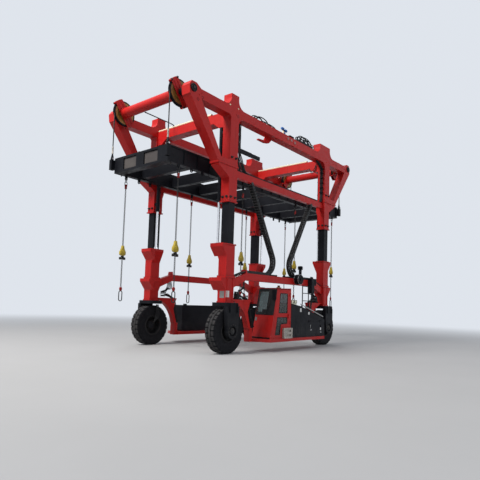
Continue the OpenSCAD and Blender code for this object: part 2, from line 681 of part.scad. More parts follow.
module cab_body() {
    skin = door_t + fit + ledge;
    difference() {
        wall_xz(-side_y, cab_d - side_y) cab_outline(0);
        wall_xz(skin - side_y, cab_d - side_y - cab_wall) cab_outline(cab_wall);
        wall_xz(-side_y - 1, door_t + fit - side_y) door_outline(-gap);
        wall_xz(-side_y - 1, skin - side_y + 1) door_outline(ledge);
        wall_xz(cab_d - side_y - cab_wall - 1, cab_d - side_y + 1) side_window_2d();
        wall_xz(60 - side_y, cab_d - side_y - 60) intersection() {
            windscreen_2d();
            difference() {
                cab_outline(-20);
                cab_outline(cab_wall + 1);
            }
            translate([cab_x0 - 30, 0]) square([cab_l - 300, cab_top]);
        }
        wall_xz(100 - side_y, cab_d - side_y - 100) translate([cab_x1 - 68, cab_top - 460]) square([100, 380]);
    }
}
module cab_glass() {
    wall_xz(60 - side_y, cab_d - side_y - 60) intersection() {
        difference() {
            cab_outline(10);
            cab_outline(22);
        }
        windscreen_2d();
        translate([cab_x0 - 30, 0]) square([cab_l - 300, cab_top]);
    }
    wall_xz(cab_d - side_y - cab_wall + 10, cab_d - side_y - 10) side_window_2d();
    wall_xz(100 - side_y, cab_d - side_y - 100) translate([cab_x1 - 36, cab_top - 460]) square([10, 380]);
}
module cab_inside() {
    y = [170 - side_y, cab_d - side_y - 160];
    floor_z = sill_top + cab_wall;
    seat_x = cab_x1 - 190;
    // seat, back rest, console and wheel
    wall_xz(y[0], y[1]) {
        plate_2d([seat_x - 480, seat_x], [floor_z + 280, floor_z + 390], 40);
        translate([seat_x - 400, floor_z]) square([340, 290]);
        polygon([[seat_x - 100, floor_z + 380], [seat_x - 20, floor_z + 1040], [seat_x + 60, floor_z + 1040], [seat_x + 10, floor_z + 380]]);
        polygon([[cab_x0 + 150, floor_z], [cab_x0 + 260, floor_z + 600], [cab_x0 + 480, floor_z + 540], [cab_x0 + 330, floor_z]]);
    }
    translate([cab_x0 + 440, (y[0] + y[1]) / 2, floor_z + 545]) rotate([0, -35, 0]) {
        cylinder(r = 18, h = 120);
        translate([0, 0, 110]) rotate_extrude() translate([150, 0]) circle(14, $fn = 16);
        translate([-150, -14, 102]) cube([300, 28, 14]);
    }
}

// ---- hinges ----
// Drawn along the Z axis, with the wall at y = hinge_off. The pin and its
// ears belong to the wall, the knuckle between them to the door.
module hinge_pin(side) {
    cylinder(r = hinge_r - 4, h = hinge_l);
    for (z = [-12, hinge_l]) translate([0, 0, z]) {
        cylinder(r = hinge_r, h = 12);
        translate([side > 0 ? 0 : -45, 0, 0]) cube([45, hinge_off, 12]);
    }
}
module hinge_knuckle(side) {
    difference() {
        union() {
            translate([0, 0, gap]) cylinder(r = hinge_r, h = hinge_l - 2 * gap);
            translate([side > 0 ? 0 : -60, hinge_off - 6, gap]) cube([60, 6, hinge_l - 2 * gap]);
        }
        translate([0, 0, -1]) cylinder(r = hinge_r - 4 + fit, h = hinge_l + 2);
    }
}
module cab_hinges() for (z = [sill_top + step_h + 130, door_z1 - 200]) translate([door_x1 + gap / 2, -side_y - hinge_off, z]) children();
module hatch_hinges() for (x = [hatch_x + 200, hatch_x + hatch_l - 300])
    translate([x, -side_y - hinge_off, hatch_z + hatch_h + gap / 2]) rotate([0, 90, 0]) children();

// ---- engine housing ----
function house_top(x) = sill_top + (x < house_x0 + house_flat
    ? house_h - (x - house_x0) * 80 / house_flat
    : house_h - 80 - (x - house_x0 - house_flat) * (house_h - 80 - house_end_h) / (house_l - house_flat));
module house_outline(d) {
    polygon([[house_x0 + d, sill_top + d], [house_x0 + d, house_top(house_x0) - d], [house_x0 + house_flat, house_top(house_x0 + house_flat) - d],
        [house_x1 - d, house_top(house_x1) - d], [house_x1 - d, sill_top + d]]);
}
module house_body(d) {
    // deep as far as the hanger, and shallow beside it
    back = -leg_y + tie_w / 2 + 15;
    shallow = -leg_y - tie_w / 2 - 40;
    skin = d > 0 ? house_skin : 0;
    wall_xz(skin - side_y, shallow - d) house_outline(d);
    intersection() {
        wall_xz(skin - side_y, back - d) house_outline(d);
        box([house_x0 - 1, sill_x - 100 - d], [-side_y, back], [0, cab_top]);
    }
}
module housing() {
    y = -side_y - 1;
    difference() {
        house_body(0);
        house_body(house_wall);
        box([hatch_x - gap, hatch_x + hatch_l + gap], [y, 24 + fit - side_y], [hatch_z - gap, hatch_z + hatch_h + gap]);
        box([hatch_x + ledge, hatch_x + hatch_l - ledge], [y, house_skin + 1 - side_y], [hatch_z + ledge, hatch_z + hatch_h - ledge]);
        // panel seams of the fixed part
        for (x = [house_x0 + 300, house_x0 + 620]) box([x, x + 8], [y, 6 - side_y], [sill_top + 60, house_top(x) - 60]);
    }
}
module rails() {
    y = 35 - side_y;
    a = house_x0 + house_flat + 40;
    b = house_x1 - 60;
    loop_x = [1145, 1575];
    loop_y = -leg_y - 210;
    loop_z = 2270;
    // what stands on the slope starts where its uphill edge meets it
    slope = (house_top(a) - house_top(b)) / (b - a);
    // handrail down the slope
    bar([a, y, house_top(a) + 80], [b, y, house_top(b) + 80], 16);
    for (x = [a + 60, (a + b) / 2, b - 60]) bar([x, y, house_top(x) + 12 * slope + fit], [x, y, house_top(x) + 78], 12);
    // hand loop behind it
    for (x = loop_x) bar([x, loop_y, house_top(x) + 18 * slope + fit], [x, loop_y, loop_z], 18);
    for (z = [1700, 1980, loop_z - 30]) bar([loop_x[0], loop_y, z], [loop_x[1], loop_y, z], 14);
    // roof handle and beacon
    wall_xz(-2150, -2100) polygon([[-780, cab_roof(-780) + fit], [-780, cab_top + 50], [-560, cab_top + 50], [-560, cab_roof(-560) + fit]]);
    translate([-680, -2125, cab_top + 50]) cylinder(r = 45, h = 60);
    // mirror
    wall_xz(20 - side_y, 50 - side_y) polygon([[cab_front(cab_top - 70) - fit, cab_top - 70], [cab_front(cab_top - 70) - 110, cab_top - 60],
        [cab_front(cab_top - 70) - 110, cab_top - 85], [cab_front(cab_top - 100) - fit, cab_top - 100]]);
    wall_yz(cab_front(cab_top) - 148, cab_front(cab_top) - 118) plate_2d([-side_y - 40, 110 - side_y], [cab_top - 380, cab_top - 60], 25);
}
module air_filter() {
    y = [-leg_y - 330, -leg_y - tie_w / 2];
    z = tie_top - 30;
    translate([870, y[1], z]) rotate([90, 0, 0]) rotate_extrude()
        polygon([[0, 0], [170, 0], [185, 15], [185, 190], [165, 215], [60, 230], [0, 230]]);
    translate([950, (y[0] + y[1]) / 2, z + 130]) rotate_extrude()
        polygon([[0, 0], [55, 0], [55, 230], [100, 260], [100, 350], [85, 370], [0, 370]]);
}
module hydraulics() {
    y = [-leg_y - 280, -leg_y - tie_w / 2];
    box([1690, 1890], y, [tie_z - 280, tie_z + 280]);
    box([1889, 2090], [y[0] + 50, y[1]], [tie_z + 30, tie_z + 90]);
    translate([2010, -leg_y - 190, tie_z + 30]) cylinder(r = 85, h = 260);
    // hose drums on the hangers
    both_ends() {
        translate([-2440, -leg_y, hanger_z]) cylinder(r = 85, h = 190);
        box([-2580, -2300], [-leg_y - 60, 60 - leg_y], [hanger_z, hanger_z + 55]);
    }
}

// ---- nodes ----
module near_lower_legs() color(red) legs_at([-1]) lower_leg();
module near_masts() color(black) legs_at([-1]) mast();
module near_lift_rods() color(steel) legs_at([-1]) lift_rod();
module near_chassis_frame() color(red) chassis_frame();
module cab_shell() color(red) {
    cab_body();
    cab_hinges() hinge_pin(1);
}
module cab_windows() color([0.3, 0.42, 0.42, 0.6]) cab_glass();
module cab_interior() color(dark) cab_inside();
module cab_door() color(red) {
    difference() {
        wall_xz(-side_y, door_t - side_y) door_outline(0);
        wall_xz(-side_y - 1, door_t + 1 - side_y) door_panes();
    }
    cab_hinges() hinge_knuckle(-1);
    // handle
    wall_xz(-side_y - 30, -side_y) plate_2d([door_x1 - 130, door_x1 - 100], [cab_top - 980, cab_top - 840], 12);
}
module cab_door_glass() color([0.3, 0.36, 0.34, 0.6]) wall_xz(6 - side_y, door_t - 6 - side_y) door_panes();
module engine_housing() color(black) {
    housing();
    hatch_hinges() hinge_pin(-1);
}
module engine_block() color([0.3, 0.3, 0.3])
    box([house_x0 + 280, sill_x - 240], [100 - side_y, -leg_y - 15], [sill_top + house_wall, house_top(house_x1) + 18]);
module engine_door() color(black) {
    box([hatch_x, hatch_x + hatch_l], [-side_y, 24 - side_y], [hatch_z, hatch_z + hatch_h]);
    hatch_hinges() hinge_knuckle(1);
    for (x = [hatch_x + 340, hatch_x + 1040]) wall_xz(-side_y - 24, -side_y) plate_2d([x, x + 44], [hatch_z + 250, hatch_z + 350], 12);
}
module work_lamps() color([0.85, 0.83, 0.6]) wall_xz(20 - side_y, 100 - side_y) for (x = [house_x0 + 32, house_x0 + 222])
    polygon([[x, house_top(x) + fit], [x, house_top(house_x0) + 120], [x + 150, house_top(house_x0) + 120], [x + 150, house_top(x + 150) + fit]]);
module step_box() color([0.55, 0.53, 0.5]) difference() {
    box([step_x + 6, cab_x1 + 6], [-half_w, -side_y - 2], [sill_top, sill_top + step_h]);
    for (z = [60, 210]) box([step_x + 104, cab_x1 - 88], [-half_w - 1, step_d * 0.55 - half_w], [sill_top + z, sill_top + z + 80]);
}
module handrails() color([0.2, 0.2, 0.2]) rails();
module air_cleaner() color(black) air_filter();
module hydraulic_units() color(black) hydraulics();
module fork_nl() color(black) at_leg(-1, -1) fork();
module fork_nr() color(black) at_leg(1, -1) fork();
module fork_fl() color(black) at_leg(-1, 1) fork();
module fork_fr() color(black) at_leg(1, 1) fork();
module rim_nl() color(dark) at_leg(-1, -1) rim();
module rim_nr() color(dark) at_leg(1, -1) rim();
module rim_fl() color(dark) at_leg(-1, 1) rim();
module rim_fr() color(dark) at_leg(1, 1) rim();
module tyre_nl() color([0.1, 0.1, 0.1]) at_leg(-1, -1) tyre();
module tyre_nr() color([0.1, 0.1, 0.1]) at_leg(1, -1) tyre();
module tyre_fl() color([0.1, 0.1, 0.1]) at_leg(-1, 1) tyre();
module tyre_fr() color([0.1, 0.1, 0.1]) at_leg(1, 1) tyre();
module near_side_frame() color(red) translate([0, -leg_y, 0]) side_frame();
module far_side_frame() color(red) translate([0, leg_y, 0]) mirror([0, 1, 0]) side_frame();
module leg_sleeves() color(red) legs_at([-1, 1]) sleeve();
module cross_beams() color(red) for (s = [-1, 1]) translate([s * leg_x, 0, 0]) cross_beam();
module side_rails() color(red) for (s = [-1, 1]) translate([0, s * leg_y, 0]) side_rail();
module lift_barrels() color(black) legs_at([-1, 1]) lift_barrel();
module end_shafts() color(red) both_ends() translate([-sheave_x, 0, sheave_z]) end_shaft();
module valve_gear() color(black) valves();
module hoist_ropes() color(black) for (sx = [-1, 1], sy = [-1, 1]) translate([sx * rope_x, sy * sheave_y, 0]) rope();
module energy_chains() color(black) both_ends() energy_chain();
module sheave_at(sx, sy) color([0.45, 0.3, 0.12]) translate([sx * sheave_x, sy * sheave_y, sheave_z]) sheave();
module sheave_nl() sheave_at(-1, -1);
module sheave_nr() sheave_at(1, -1);
module sheave_fl() sheave_at(-1, 1);
module sheave_fr() sheave_at(1, 1);
module spreader_frame() color(black) spreader();
module spreader_lugs() color(black) lugs();
module chain_slings() color([0.3, 0.1, 0.1]) slings();
module far_lower_legs() color(red) legs_at([1]) lower_leg();
module far_masts() color(black) legs_at([1]) mast();
module far_lift_rods() color(steel) legs_at([1]) lift_rod();
module far_chassis_frame() color(red) mirror([0, 1, 0]) chassis_frame();
module far_tank() color(black) {
    translate([0, leg_y + tie_w / 2 + 30, 0]) wall_xz(0, half_w - leg_y - tie_w / 2 - 30) plate_2d([-1300, 1900], [sill_top, sill_top + 990], 60);
    translate([-900, leg_y + 400, sill_top + 990]) cylinder(r = 70, h = 50);
}

near_lower_legs();
near_masts();
near_lift_rods();
near_chassis_frame();
cab_shell();
cab_windows();
cab_interior();
cab_door();
cab_door_glass();
engine_housing();
engine_block();
engine_door();
work_lamps();
step_box();
handrails();
air_cleaner();
hydraulic_units();
fork_nl();
fork_nr();
fork_fl();
fork_fr();
rim_nl();
rim_nr();
rim_fl();
rim_fr();
tyre_nl();
tyre_nr();
tyre_fl();
tyre_fr();
near_side_frame();
far_side_frame();
leg_sleeves();
cross_beams();
side_rails();
lift_barrels();
end_shafts();
valve_gear();
hoist_ropes();
energy_chains();
sheave_nl();
sheave_nr();
sheave_fl();
sheave_fr();
spreader_frame();
spreader_lugs();
chain_slings();
far_lower_legs();
far_masts();
far_lift_rods();
far_chassis_frame();
far_tank();
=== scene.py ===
"""Looks of the straddle carrier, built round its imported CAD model.

Metres, in the CAD model's frame: origin on the ground midway between the
wheels, +X along the length, -Y the cab side, +Z up.
"""
import math

import bmesh
import bpy
import numpy as np
from mathutils import Matrix


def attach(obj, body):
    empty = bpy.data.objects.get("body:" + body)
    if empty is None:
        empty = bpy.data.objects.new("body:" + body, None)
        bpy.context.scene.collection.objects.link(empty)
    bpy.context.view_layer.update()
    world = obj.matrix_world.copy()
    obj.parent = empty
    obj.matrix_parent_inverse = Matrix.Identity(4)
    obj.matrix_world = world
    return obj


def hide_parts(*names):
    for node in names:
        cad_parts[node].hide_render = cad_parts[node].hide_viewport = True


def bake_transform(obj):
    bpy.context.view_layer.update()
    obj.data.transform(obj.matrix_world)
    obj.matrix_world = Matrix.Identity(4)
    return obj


# ---------------------------------------------------------------- sizes
TAU = 2 * math.pi
LEG_X, LEG_Y, LEG_W, LEG_D = 2.97, 1.735, 0.38, 0.32
LEG_END, LEG_FACE = LEG_X + LEG_W / 2, LEG_Y + LEG_D / 2  # outer faces of the legs and of the side frames
FLANGE_BOLT, SEAM_BOLT = 0.0135, 0.012   # half the width of the heads
FLANGE_X, FLANGE_Y = 0.205, 0.172        # bolt rows on the leg flanges
FOOT_TOP, TUBE_TOP, SLEEVE_Z, KNEE_Z = 2.32, 3.33, 4.62, 5.75
BEAM_TOP, TIE_TOP = 7.64, 2.5
WHEEL_R, ARM_OUT = 0.685, 0.3445
SHEAVE = (4.82, 1.3, 7.565)
SHEAVE_R, GROOVE_R, ROPE_R = 0.4, 0.342, 0.012
ROPE_DRAWN, ROPE_LAY = 0.018, 0.11       # rope with its thick coat of grease
CHEEK_FACE, CHEEK_LEAN, KEEPER_AT = 1.3643, math.radians(37), 0.428
ROPE_X = SHEAVE[0] + GROOVE_R + ROPE_R
SEAT_SIDES = -2.175, -1.765
SPREADER = (5.104, 1.25, 5.5, 5.99)     # half length, half width, bottom, top
SLING_X, SLING_Y, LUG_Z = (-4.65, -1.65, 1.65, 4.65), 1.23, 5.38
LINK_TOP, LINK_LOW, HOIST_Z = 1.82, 1.472, 2.95  # long links, bottom of the lever hoists
SIDE_Y, SILL_TOP = 2.35, 0.41
PLATE_SPOTS = ((0.025, 7.532), (0.241, 7.53), (0.471, 7.497))
HOLE_SPOTS = ((-2.822, 7.387), (-4.445, 7.407), (-4.629, 7.295))
CAP_SPOTS = ((-3.224, 7.637), (-2.831, 7.634))
ENDS = (("nl", -1, -1), ("nr", 1, -1), ("fl", -1, 1), ("fr", 1, 1))
ALONG, ACROSS, UP, OUT = (1, 0, 0), (0, 1, 0), (0, 0, 1), (0, -1, 0)
HOSE_UP, ASIDE = (0, 1, 0.1), (1, 0, 0.1)  # up for paths that also rise, so not quite square
FAR_VIEW, SAME_POINT = 200, 2e-5         # metres

# ---------------------------------------------------------------- camera
CAMERA_AT = (-13.716, -11.043, 1.507)
YAW, PITCH, ROLL = 50.38, 4.59, 1.82     # degrees, yaw from +Y towards +X
FOCAL_PX, CENTRE_PX, PHOTO_PX = 464.67, (236.72, 266.59), 480


def placed(name, data):
    """A new object in the scene."""
    made = bpy.data.objects.new(name, data)
    bpy.context.scene.collection.objects.link(made)
    return made


def standing(u, v, w, at):
    """Matrix of an object whose axes are u, v and w, at a point."""
    return Matrix([[u[i], v[i], w[i], at[i]] for i in range(3)] + [[0, 0, 0, 1]])


def make_camera():
    """Camera of the photograph's station: forward from yaw and pitch, then
    rolled about it. The lens is the focal length in pixels over the frame's
    width, the shift the principal point's distance from the middle."""
    yaw, pitch, roll = (math.radians(a) for a in (YAW, PITCH, ROLL))
    ahead = np.array([math.sin(yaw) * math.cos(pitch), math.cos(yaw) * math.cos(pitch), math.sin(pitch)])
    level = np.array([math.cos(yaw), -math.sin(yaw), 0.0])
    above = np.cross(level, ahead)
    right = level * math.cos(roll) + above * math.sin(roll)
    up = above * math.cos(roll) - level * math.sin(roll)
    data = bpy.data.cameras.new("camera")
    data.sensor_width = 36.0
    data.lens = FOCAL_PX / PHOTO_PX * data.sensor_width
    data.shift_x = 0.5 - CENTRE_PX[0] / PHOTO_PX
    data.shift_y = CENTRE_PX[1] / PHOTO_PX - 0.5
    data.clip_end = FAR_VIEW
    camera = bpy.context.scene.camera = placed("camera", data)
    camera.matrix_world = standing(right, up, -ahead, CAMERA_AT)


# ---------------------------------------------------------------- shapes
# A shape is (points, quads, other faces). Its faces index its own points.
def join(*shapes):
    """One shape from several, each one's faces moved on by the points before it."""
    start = np.cumsum([0] + [len(s[0]) for s in shapes])
    return (np.vstack([s[0] for s in shapes]), np.vstack([s[1] + k for s, k in zip(shapes, start)]),
            [list(np.asarray(f) + k) for s, k in zip(shapes, start) for f in s[2]])


def grid(points, loop_u=False, loop_v=True, caps=False):
    """Surface over two parameters: points[u, v], a quad between neighbours,
    joined round where a parameter loops, with the first and last rings as caps."""
    nu, nv = points.shape[:2]
    i, j = np.meshgrid(np.arange(nu - (not loop_u)), np.arange(nv - (not loop_v)), indexing="ij")
    i2, j2 = (i + 1) % nu, (j + 1) % nv
    quads = columns(i * nv + j, i2 * nv + j, i2 * nv + j2, i * nv + j2).reshape(-1, 4)
    ends = [list(range(nv))[::-1], list(range((nu - 1) * nv, nu * nv))] if caps else []
    return points.reshape(-1, 3), quads, ends


def columns(*parts):
    """Points from their coordinates, each an array or one number for all."""
    return np.stack(np.broadcast_arrays(*parts), -1)


def unit(v):
    """The vector, or each of several, made one long."""
    v = np.asarray(v, float)
    return v / np.linalg.norm(v, axis=-1, keepdims=True)


def sweep(path, profile, up, closed=False):
    """A closed profile (a, b) carried along a path: each ring is the path's
    point plus a times (tangent x up) plus b times up made square to the tangent."""
    path = np.asarray(path, float)
    tangent = unit(np.roll(path, -1, 0) - np.roll(path, 1, 0) if closed else np.gradient(path, axis=0))
    up = np.broadcast_to(np.asarray(up, float), path.shape)
    b = unit(up - (up * tangent).sum(1, keepdims=True) * tangent)
    a = np.cross(tangent, b)
    profile = np.broadcast_to(profile, (len(path),) + np.shape(profile)[-2:])
    return grid(path[:, None] + profile[..., :1] * a[:, None] + profile[..., 1:] * b[:, None], closed, True,
                not closed)


def ring(r, n=10, squash=1.0):
    """Circle of n points, flattened by squash."""
    t = np.arange(n) * TAU / n
    return columns(r * np.cos(t), r * squash * np.sin(t))


def smooth_path(points, per=8):
    """Catmull-Rom curve through the points: each stretch is the cubic whose
    end slopes are half the distance between the neighbouring points."""
    p = np.asarray(points, float)
    p = np.vstack([2 * p[0] - p[1], p, 2 * p[-1] - p[-2]])
    t = np.linspace(0, 1, per, endpoint=False)[None, :, None]
    a, b, c, d = (p[k:len(p) - 3 + k, None] for k in range(4))
    bent, swung = 2 * a - 5 * b + 4 * c - d, 3 * b - a - 3 * c + d
    curve = 0.5 * (2 * b + (c - a) * t + bent * t ** 2 + swung * t ** 3)
    return np.vstack([curve.reshape(-1, 3), p[-2:-1]])


def tube(points, r, up=HOSE_UP, n=8, per=8):
    """Round hose along a smooth curve through the points."""
    return sweep(smooth_path(points, per), ring(r, n), up)


def axes_of(axis):
    """Three square directions, the last along the axis."""
    w = unit(axis)
    u = unit(np.cross(w, [0.0, 0.0, 1.0] if abs(w[2]) < 0.9 else [1.0, 0.0, 0.0]))
    return u, np.cross(w, u), w


def lathe(profile, at=(0, 0, 0), axis=UP, n=24, closed=False):
    """Profile (r, h) turned about the axis: point + h axis + r (u cos t + v sin t)."""
    u, v, w = axes_of(axis)
    t = (np.arange(n) * TAU / n)[:, None, None]
    r, h = np.asarray(profile, float).T[:, None, :, None]
    return grid(np.asarray(at, float) + h * w + r * (u * np.cos(t) + v * np.sin(t)), True, closed)


def rod(r, lo, hi, at=(0, 0, 0), axis=UP, n=12):
    """Plain rod between two heights along the axis."""
    return lathe([(0, lo), (r, lo), (r, hi), (0, hi)], at, axis, n)


def inset(outline, d):
    """Outline moved inwards by d, each point along the mean of its edges' normals."""
    p = np.asarray(outline, float)
    e = unit(np.roll(p, -1, 0) - p)
    n = columns(-e[:, 1], e[:, 0])
    m = n + np.roll(n, 1, 0)
    area = np.sum(p[:, 0] * np.roll(p[:, 1], -1) - p[:, 1] * np.roll(p[:, 0], -1))
    return p + np.sign(area) * d * m * 2 / (m * m).sum(1, keepdims=True)


def plate(outline, axis, lo, hi, bevel=0.004):
    """Outline in the two other axes, carried from lo to hi along the axis,
    with its edges drawn in by the bevel at both faces."""
    rings = [(lo, bevel), (lo + bevel, 0), (hi - bevel, 0), (hi, bevel)]
    points = np.zeros((4, len(outline), 3))
    others = [k for k in range(3) if k != axis]
    for k, (level, d) in enumerate(rings):
        points[k][:, others] = inset(outline, d)
        points[k][:, axis] = level
    return grid(points, False, True, True)


def block(lo, hi, bevel=0.004, corner=0.0):
    """Box between two corners, its upright edges rounded by the corner radius."""
    return plate(rounded(lo[0], hi[0], lo[1], hi[1], corner), 2, lo[2], hi[2], bevel)


def rounded(a0, a1, b0, b1, r, n=4):
    """Rectangle whose corners are quarter circles of radius r."""
    if r <= 0:
        return np.array([[a0, b0], [a1, b0], [a1, b1], [a0, b1]], float)
    t = np.linspace(0, TAU / 4, n + 1)
    corners = [(a1 - r, b1 - r, 0), (a0 + r, b1 - r, 1), (a0 + r, b0 + r, 2), (a1 - r, b0 + r, 3)]
    return np.vstack([columns(a + r * np.cos(t + q * TAU / 4), b + r * np.sin(t + q * TAU / 4)) for a, b,
                      q in corners])


def copies(shape, places, frames=None):
    """The shape once at each place, turned by each place's 3 x 3 frame."""
    places = np.asarray(places, float)
    points = np.broadcast_to(shape[0], (len(places),) + shape[0].shape)
    if frames is not None:
        points = np.einsum("kij,knj->kni", np.broadcast_to(frames, (len(places), 3, 3)), points)
    shift = (np.arange(len(places)) * len(shape[0]))[:, None, None]
    quads = (shape[1][None] + shift).reshape(-1, 4)
    return ((points + places[:, None]).reshape(-1, 3), quads,
            [list(np.asarray(f) + k) for k in shift[:, 0, 0] for f in shape[2]])


def facing(axis):
    """Frame whose third column is the axis."""
    return columns(*axes_of(axis))


def mirrored(shape, axis):
    """The shape's mirror image through the plane where that axis is nought."""
    sign = np.ones(3)
    sign[axis] = -1
    return shape[0] * sign, shape[1][:, ::-1], [f[::-1] for f in shape[2]]


def pair(shape, axis):
    """The shape and its mirror image."""
    return join(shape, mirrored(shape, axis))


def near_ends(shape):
    """A shape drawn at the near left corner, there and at the near right one."""
    return pair(shape, 0)


def all_ends(shape):
    """A shape drawn at the near left corner, at all four corners."""
    return pair(near_ends(shape), 1)


def bolt(r, height=0.7):
    """Hexagon head with a chamfer on a round washer, along +Z."""
    head = lathe([(0, 0.15 * r), (r, 0.15 * r), (r, height * r), (0.82 * r, (height + 0.18) * r),
                  (0, (height + 0.18) * r)], n=6)
    return join(rod(1.3 * r, 0, 0.18 * r), head)


def ring_of(n, r, at, axis, start=0.0):
    """n places on a circle about the axis."""
    u, v, _ = axes_of(axis)
    t = (np.arange(n) * TAU / n + start)[:, None]
    return np.asarray(at, float) + r * (u * np.cos(t) + v * np.sin(t))


def bolt_ring(r, n, radius, at, axis, height=0.7, start=0.0):
    """Ring of n bolts about the axis, that point along it."""
    return copies(bolt(r, height), ring_of(n, radius, at, axis, start), facing(axis))


def round_flange(x, y, z, hx, hy, nx, ny):
    """Places along a rectangle's four sides, nx and ny to a side."""
    a, b = np.linspace(-hx, hx, nx), np.linspace(-hy, hy, ny)[1:-1]
    xs = np.concatenate([a, a, np.full(len(b), -hx), np.full(len(b), hx)])
    ys = np.concatenate([np.full(nx, -hy), np.full(nx, hy), b, b])
    return columns(x + xs, y + ys, z)


def add(name, shape, finish, body, slot, replaces=(), sharp=35, blend=None):
    """Puts a shape into the scene as one piece that rides on a body, or, where
    blend is given, as a piece on no body whose place is baked into its points."""
    mesh = bpy.data.meshes.new(name)
    mesh.from_pydata(shape[0].tolist(), [], shape[1].tolist() + shape[2])
    work = bmesh.new()
    work.from_mesh(mesh)
    bmesh.ops.remove_doubles(work, verts=work.verts, dist=SAME_POINT)
    bmesh.ops.recalc_face_normals(work, faces=work.faces)
    work.to_mesh(mesh)
    work.free()
    mesh.polygons.foreach_set("use_smooth", np.ones(len(mesh.polygons), bool))
    mesh.set_sharp_from_angle(angle=math.radians(sharp))
    mesh.materials.append(finish)
    piece = placed(name, mesh)
    if blend:
        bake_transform(piece)
    else:
        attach(piece, body)
    if replaces:
        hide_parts(*replaces)
    return piece


# ---------------------------------------------------------------- finishes
class Nodes:
    """A node tree in the making, and short ways to add to it."""

    def __init__(self, owner):
        owner.use_nodes = True
        self.tree = owner.node_tree

    def node(self, kind, **values):
        made = self.tree.nodes.new(kind)
        for key, value in values.items():
            setattr(made, key, value)
        return made

    def put(self, socket, value):
        if hasattr(value, "is_output"):
            self.tree.links.new(value, socket)
        else:
            socket.default_value = value

    def times(self, a, b, operation="MULTIPLY"):
        """Product of two values, or another operation on them."""
        made = self.node("ShaderNodeMath", operation=operation)
        self.put(made.inputs[0], a)
        self.put(made.inputs[1], b)
        return made.outputs[0]

    def length(self, a, b):
        """Length of the plane vector (a, b)."""
        return self.times(self.times(self.times(a, a), self.times(b, b), "ADD"), 0.5, "POWER")

    def mix(self, share, under, over):
        """Colour over another by the share."""
        made = self.node("ShaderNodeMix", data_type="RGBA")
        for socket, value in zip((0, 6, 7), (share, under, over)):
            self.put(made.inputs[socket], value)
        return made.outputs[2]

    def looked_at(self):
        """1 where the camera looks, straight, in a mirror or through glass."""
        path = self.node("ShaderNodeLightPath").outputs
        bent = self.times(path["Is Glossy Ray"], path["Is Transmission Ray"], "MAXIMUM")
        return self.times(path["Is Camera Ray"], bent, "MAXIMUM")


class Finish(Nodes):
    """A material in the making: its tree, its shader, and the patterns that
    all finishes use. Patterns read Object coordinates."""

    def __init__(self, name, colour, rough, metal=0.0):
        self.material = bpy.data.materials.new(name)
        super().__init__(self.material)
        self.shader = self.tree.nodes["Principled BSDF"]
        self.tune("Metallic", metal)
        self.place = self.node("ShaderNodeTexCoord").outputs["Object"]
        self.colour = (*colour, 1)
        self.rough = rough
        self.heights = []

    def at(self, stretch=(1, 1, 1)):
        made = self.node("ShaderNodeMapping")
        self.put(made.inputs["Vector"], self.place)
        made.inputs["Scale"].default_value = stretch
        return made.outputs[0]

    def noise(self, scale, detail=3.0, stretch=(1, 1, 1), rough=0.55):
        made = self.node("ShaderNodeTexNoise")
        self.put(made.inputs["Vector"], self.at(stretch))
        made.inputs["Scale"].default_value = scale
        made.inputs["Detail"].default_value = detail
        made.inputs["Roughness"].default_value = rough
        return made.outputs[0]

    def cells(self, scale):
        made = self.node("ShaderNodeTexVoronoi")
        self.put(made.inputs["Vector"], self.at())
        made.inputs["Scale"].default_value = scale
        return made.outputs["Color"]

    def bands(self, scale, direction):
        made = self.node("ShaderNodeTexWave", bands_direction=direction)
        self.put(made.inputs["Vector"], self.at())
        made.inputs["Scale"].default_value = scale
        return made.outputs["Fac"]

    def part(self, value, lo, hi, top=1.0, bottom=0.0):
        """Share between lo and hi, as top at hi and bottom at lo."""
        made = self.node("ShaderNodeMapRange", interpolation_type="SMOOTHSTEP")
        self.put(made.inputs["Value"], value)
        for key, v in zip(("From Min", "From Max", "To Min", "To Max"), (lo, hi, bottom, top)):
            made.inputs[key].default_value = v
        return made.outputs[0]

    def axis_value(self, axis):
        """X, Y or Z of the point in metres."""
        made = self.node("ShaderNodeSeparateXYZ")
        self.put(made.inputs[0], self.place)
        return made.outputs[axis]

    def axle_distance(self):
        """Distance from the nearest wheel's axle: the length of (|x| - leg
        distance, z - wheel radius)."""
        across = self.times(self.times(self.axis_value("X"), 0.0, "ABSOLUTE"), LEG_X, "SUBTRACT")
        return self.length(across, self.times(self.axis_value("Z"), WHEEL_R, "SUBTRACT"))

    def cover(self, share, colour):
        """Lays a colour over what is there by the share."""
        self.colour = self.mix(share, self.colour, colour if hasattr(colour, "is_output") else (*colour, 1))
        return self

    def cloud(self, noise, lo, hi, most, colour):
        """Lays a colour where a noise rises from one value to another."""
        return self.cover(self.part(self.noise(*noise), lo, hi, most), colour)

    def tune(self, socket, value):
        """Sets one of the shader's own sockets."""
        self.shader.inputs[socket].default_value = value

    def relief(self, value, strength, depth=0.002):
        self.heights.append((value, strength, depth))
        return self

    def done(self):
        self.put(self.shader.inputs["Base Color"], self.colour)
        self.put(self.shader.inputs["Roughness"], self.rough)
        normal = None
        for value, strength, depth in self.heights:
            made = self.node("ShaderNodeBump")
            self.put(made.inputs["Height"], value)
            made.inputs["Strength"].default_value = strength
            made.inputs["Distance"].default_value = depth
            if normal:
                self.put(made.inputs["Normal"], normal)
            normal = made.outputs[0]
        if normal:
            self.put(self.shader.inputs["Normal"], normal)
        return self.material


ROAD_DUST, CHIPPED = (0.085, 0.082, 0.082), (0.05, 0.04, 0.038)


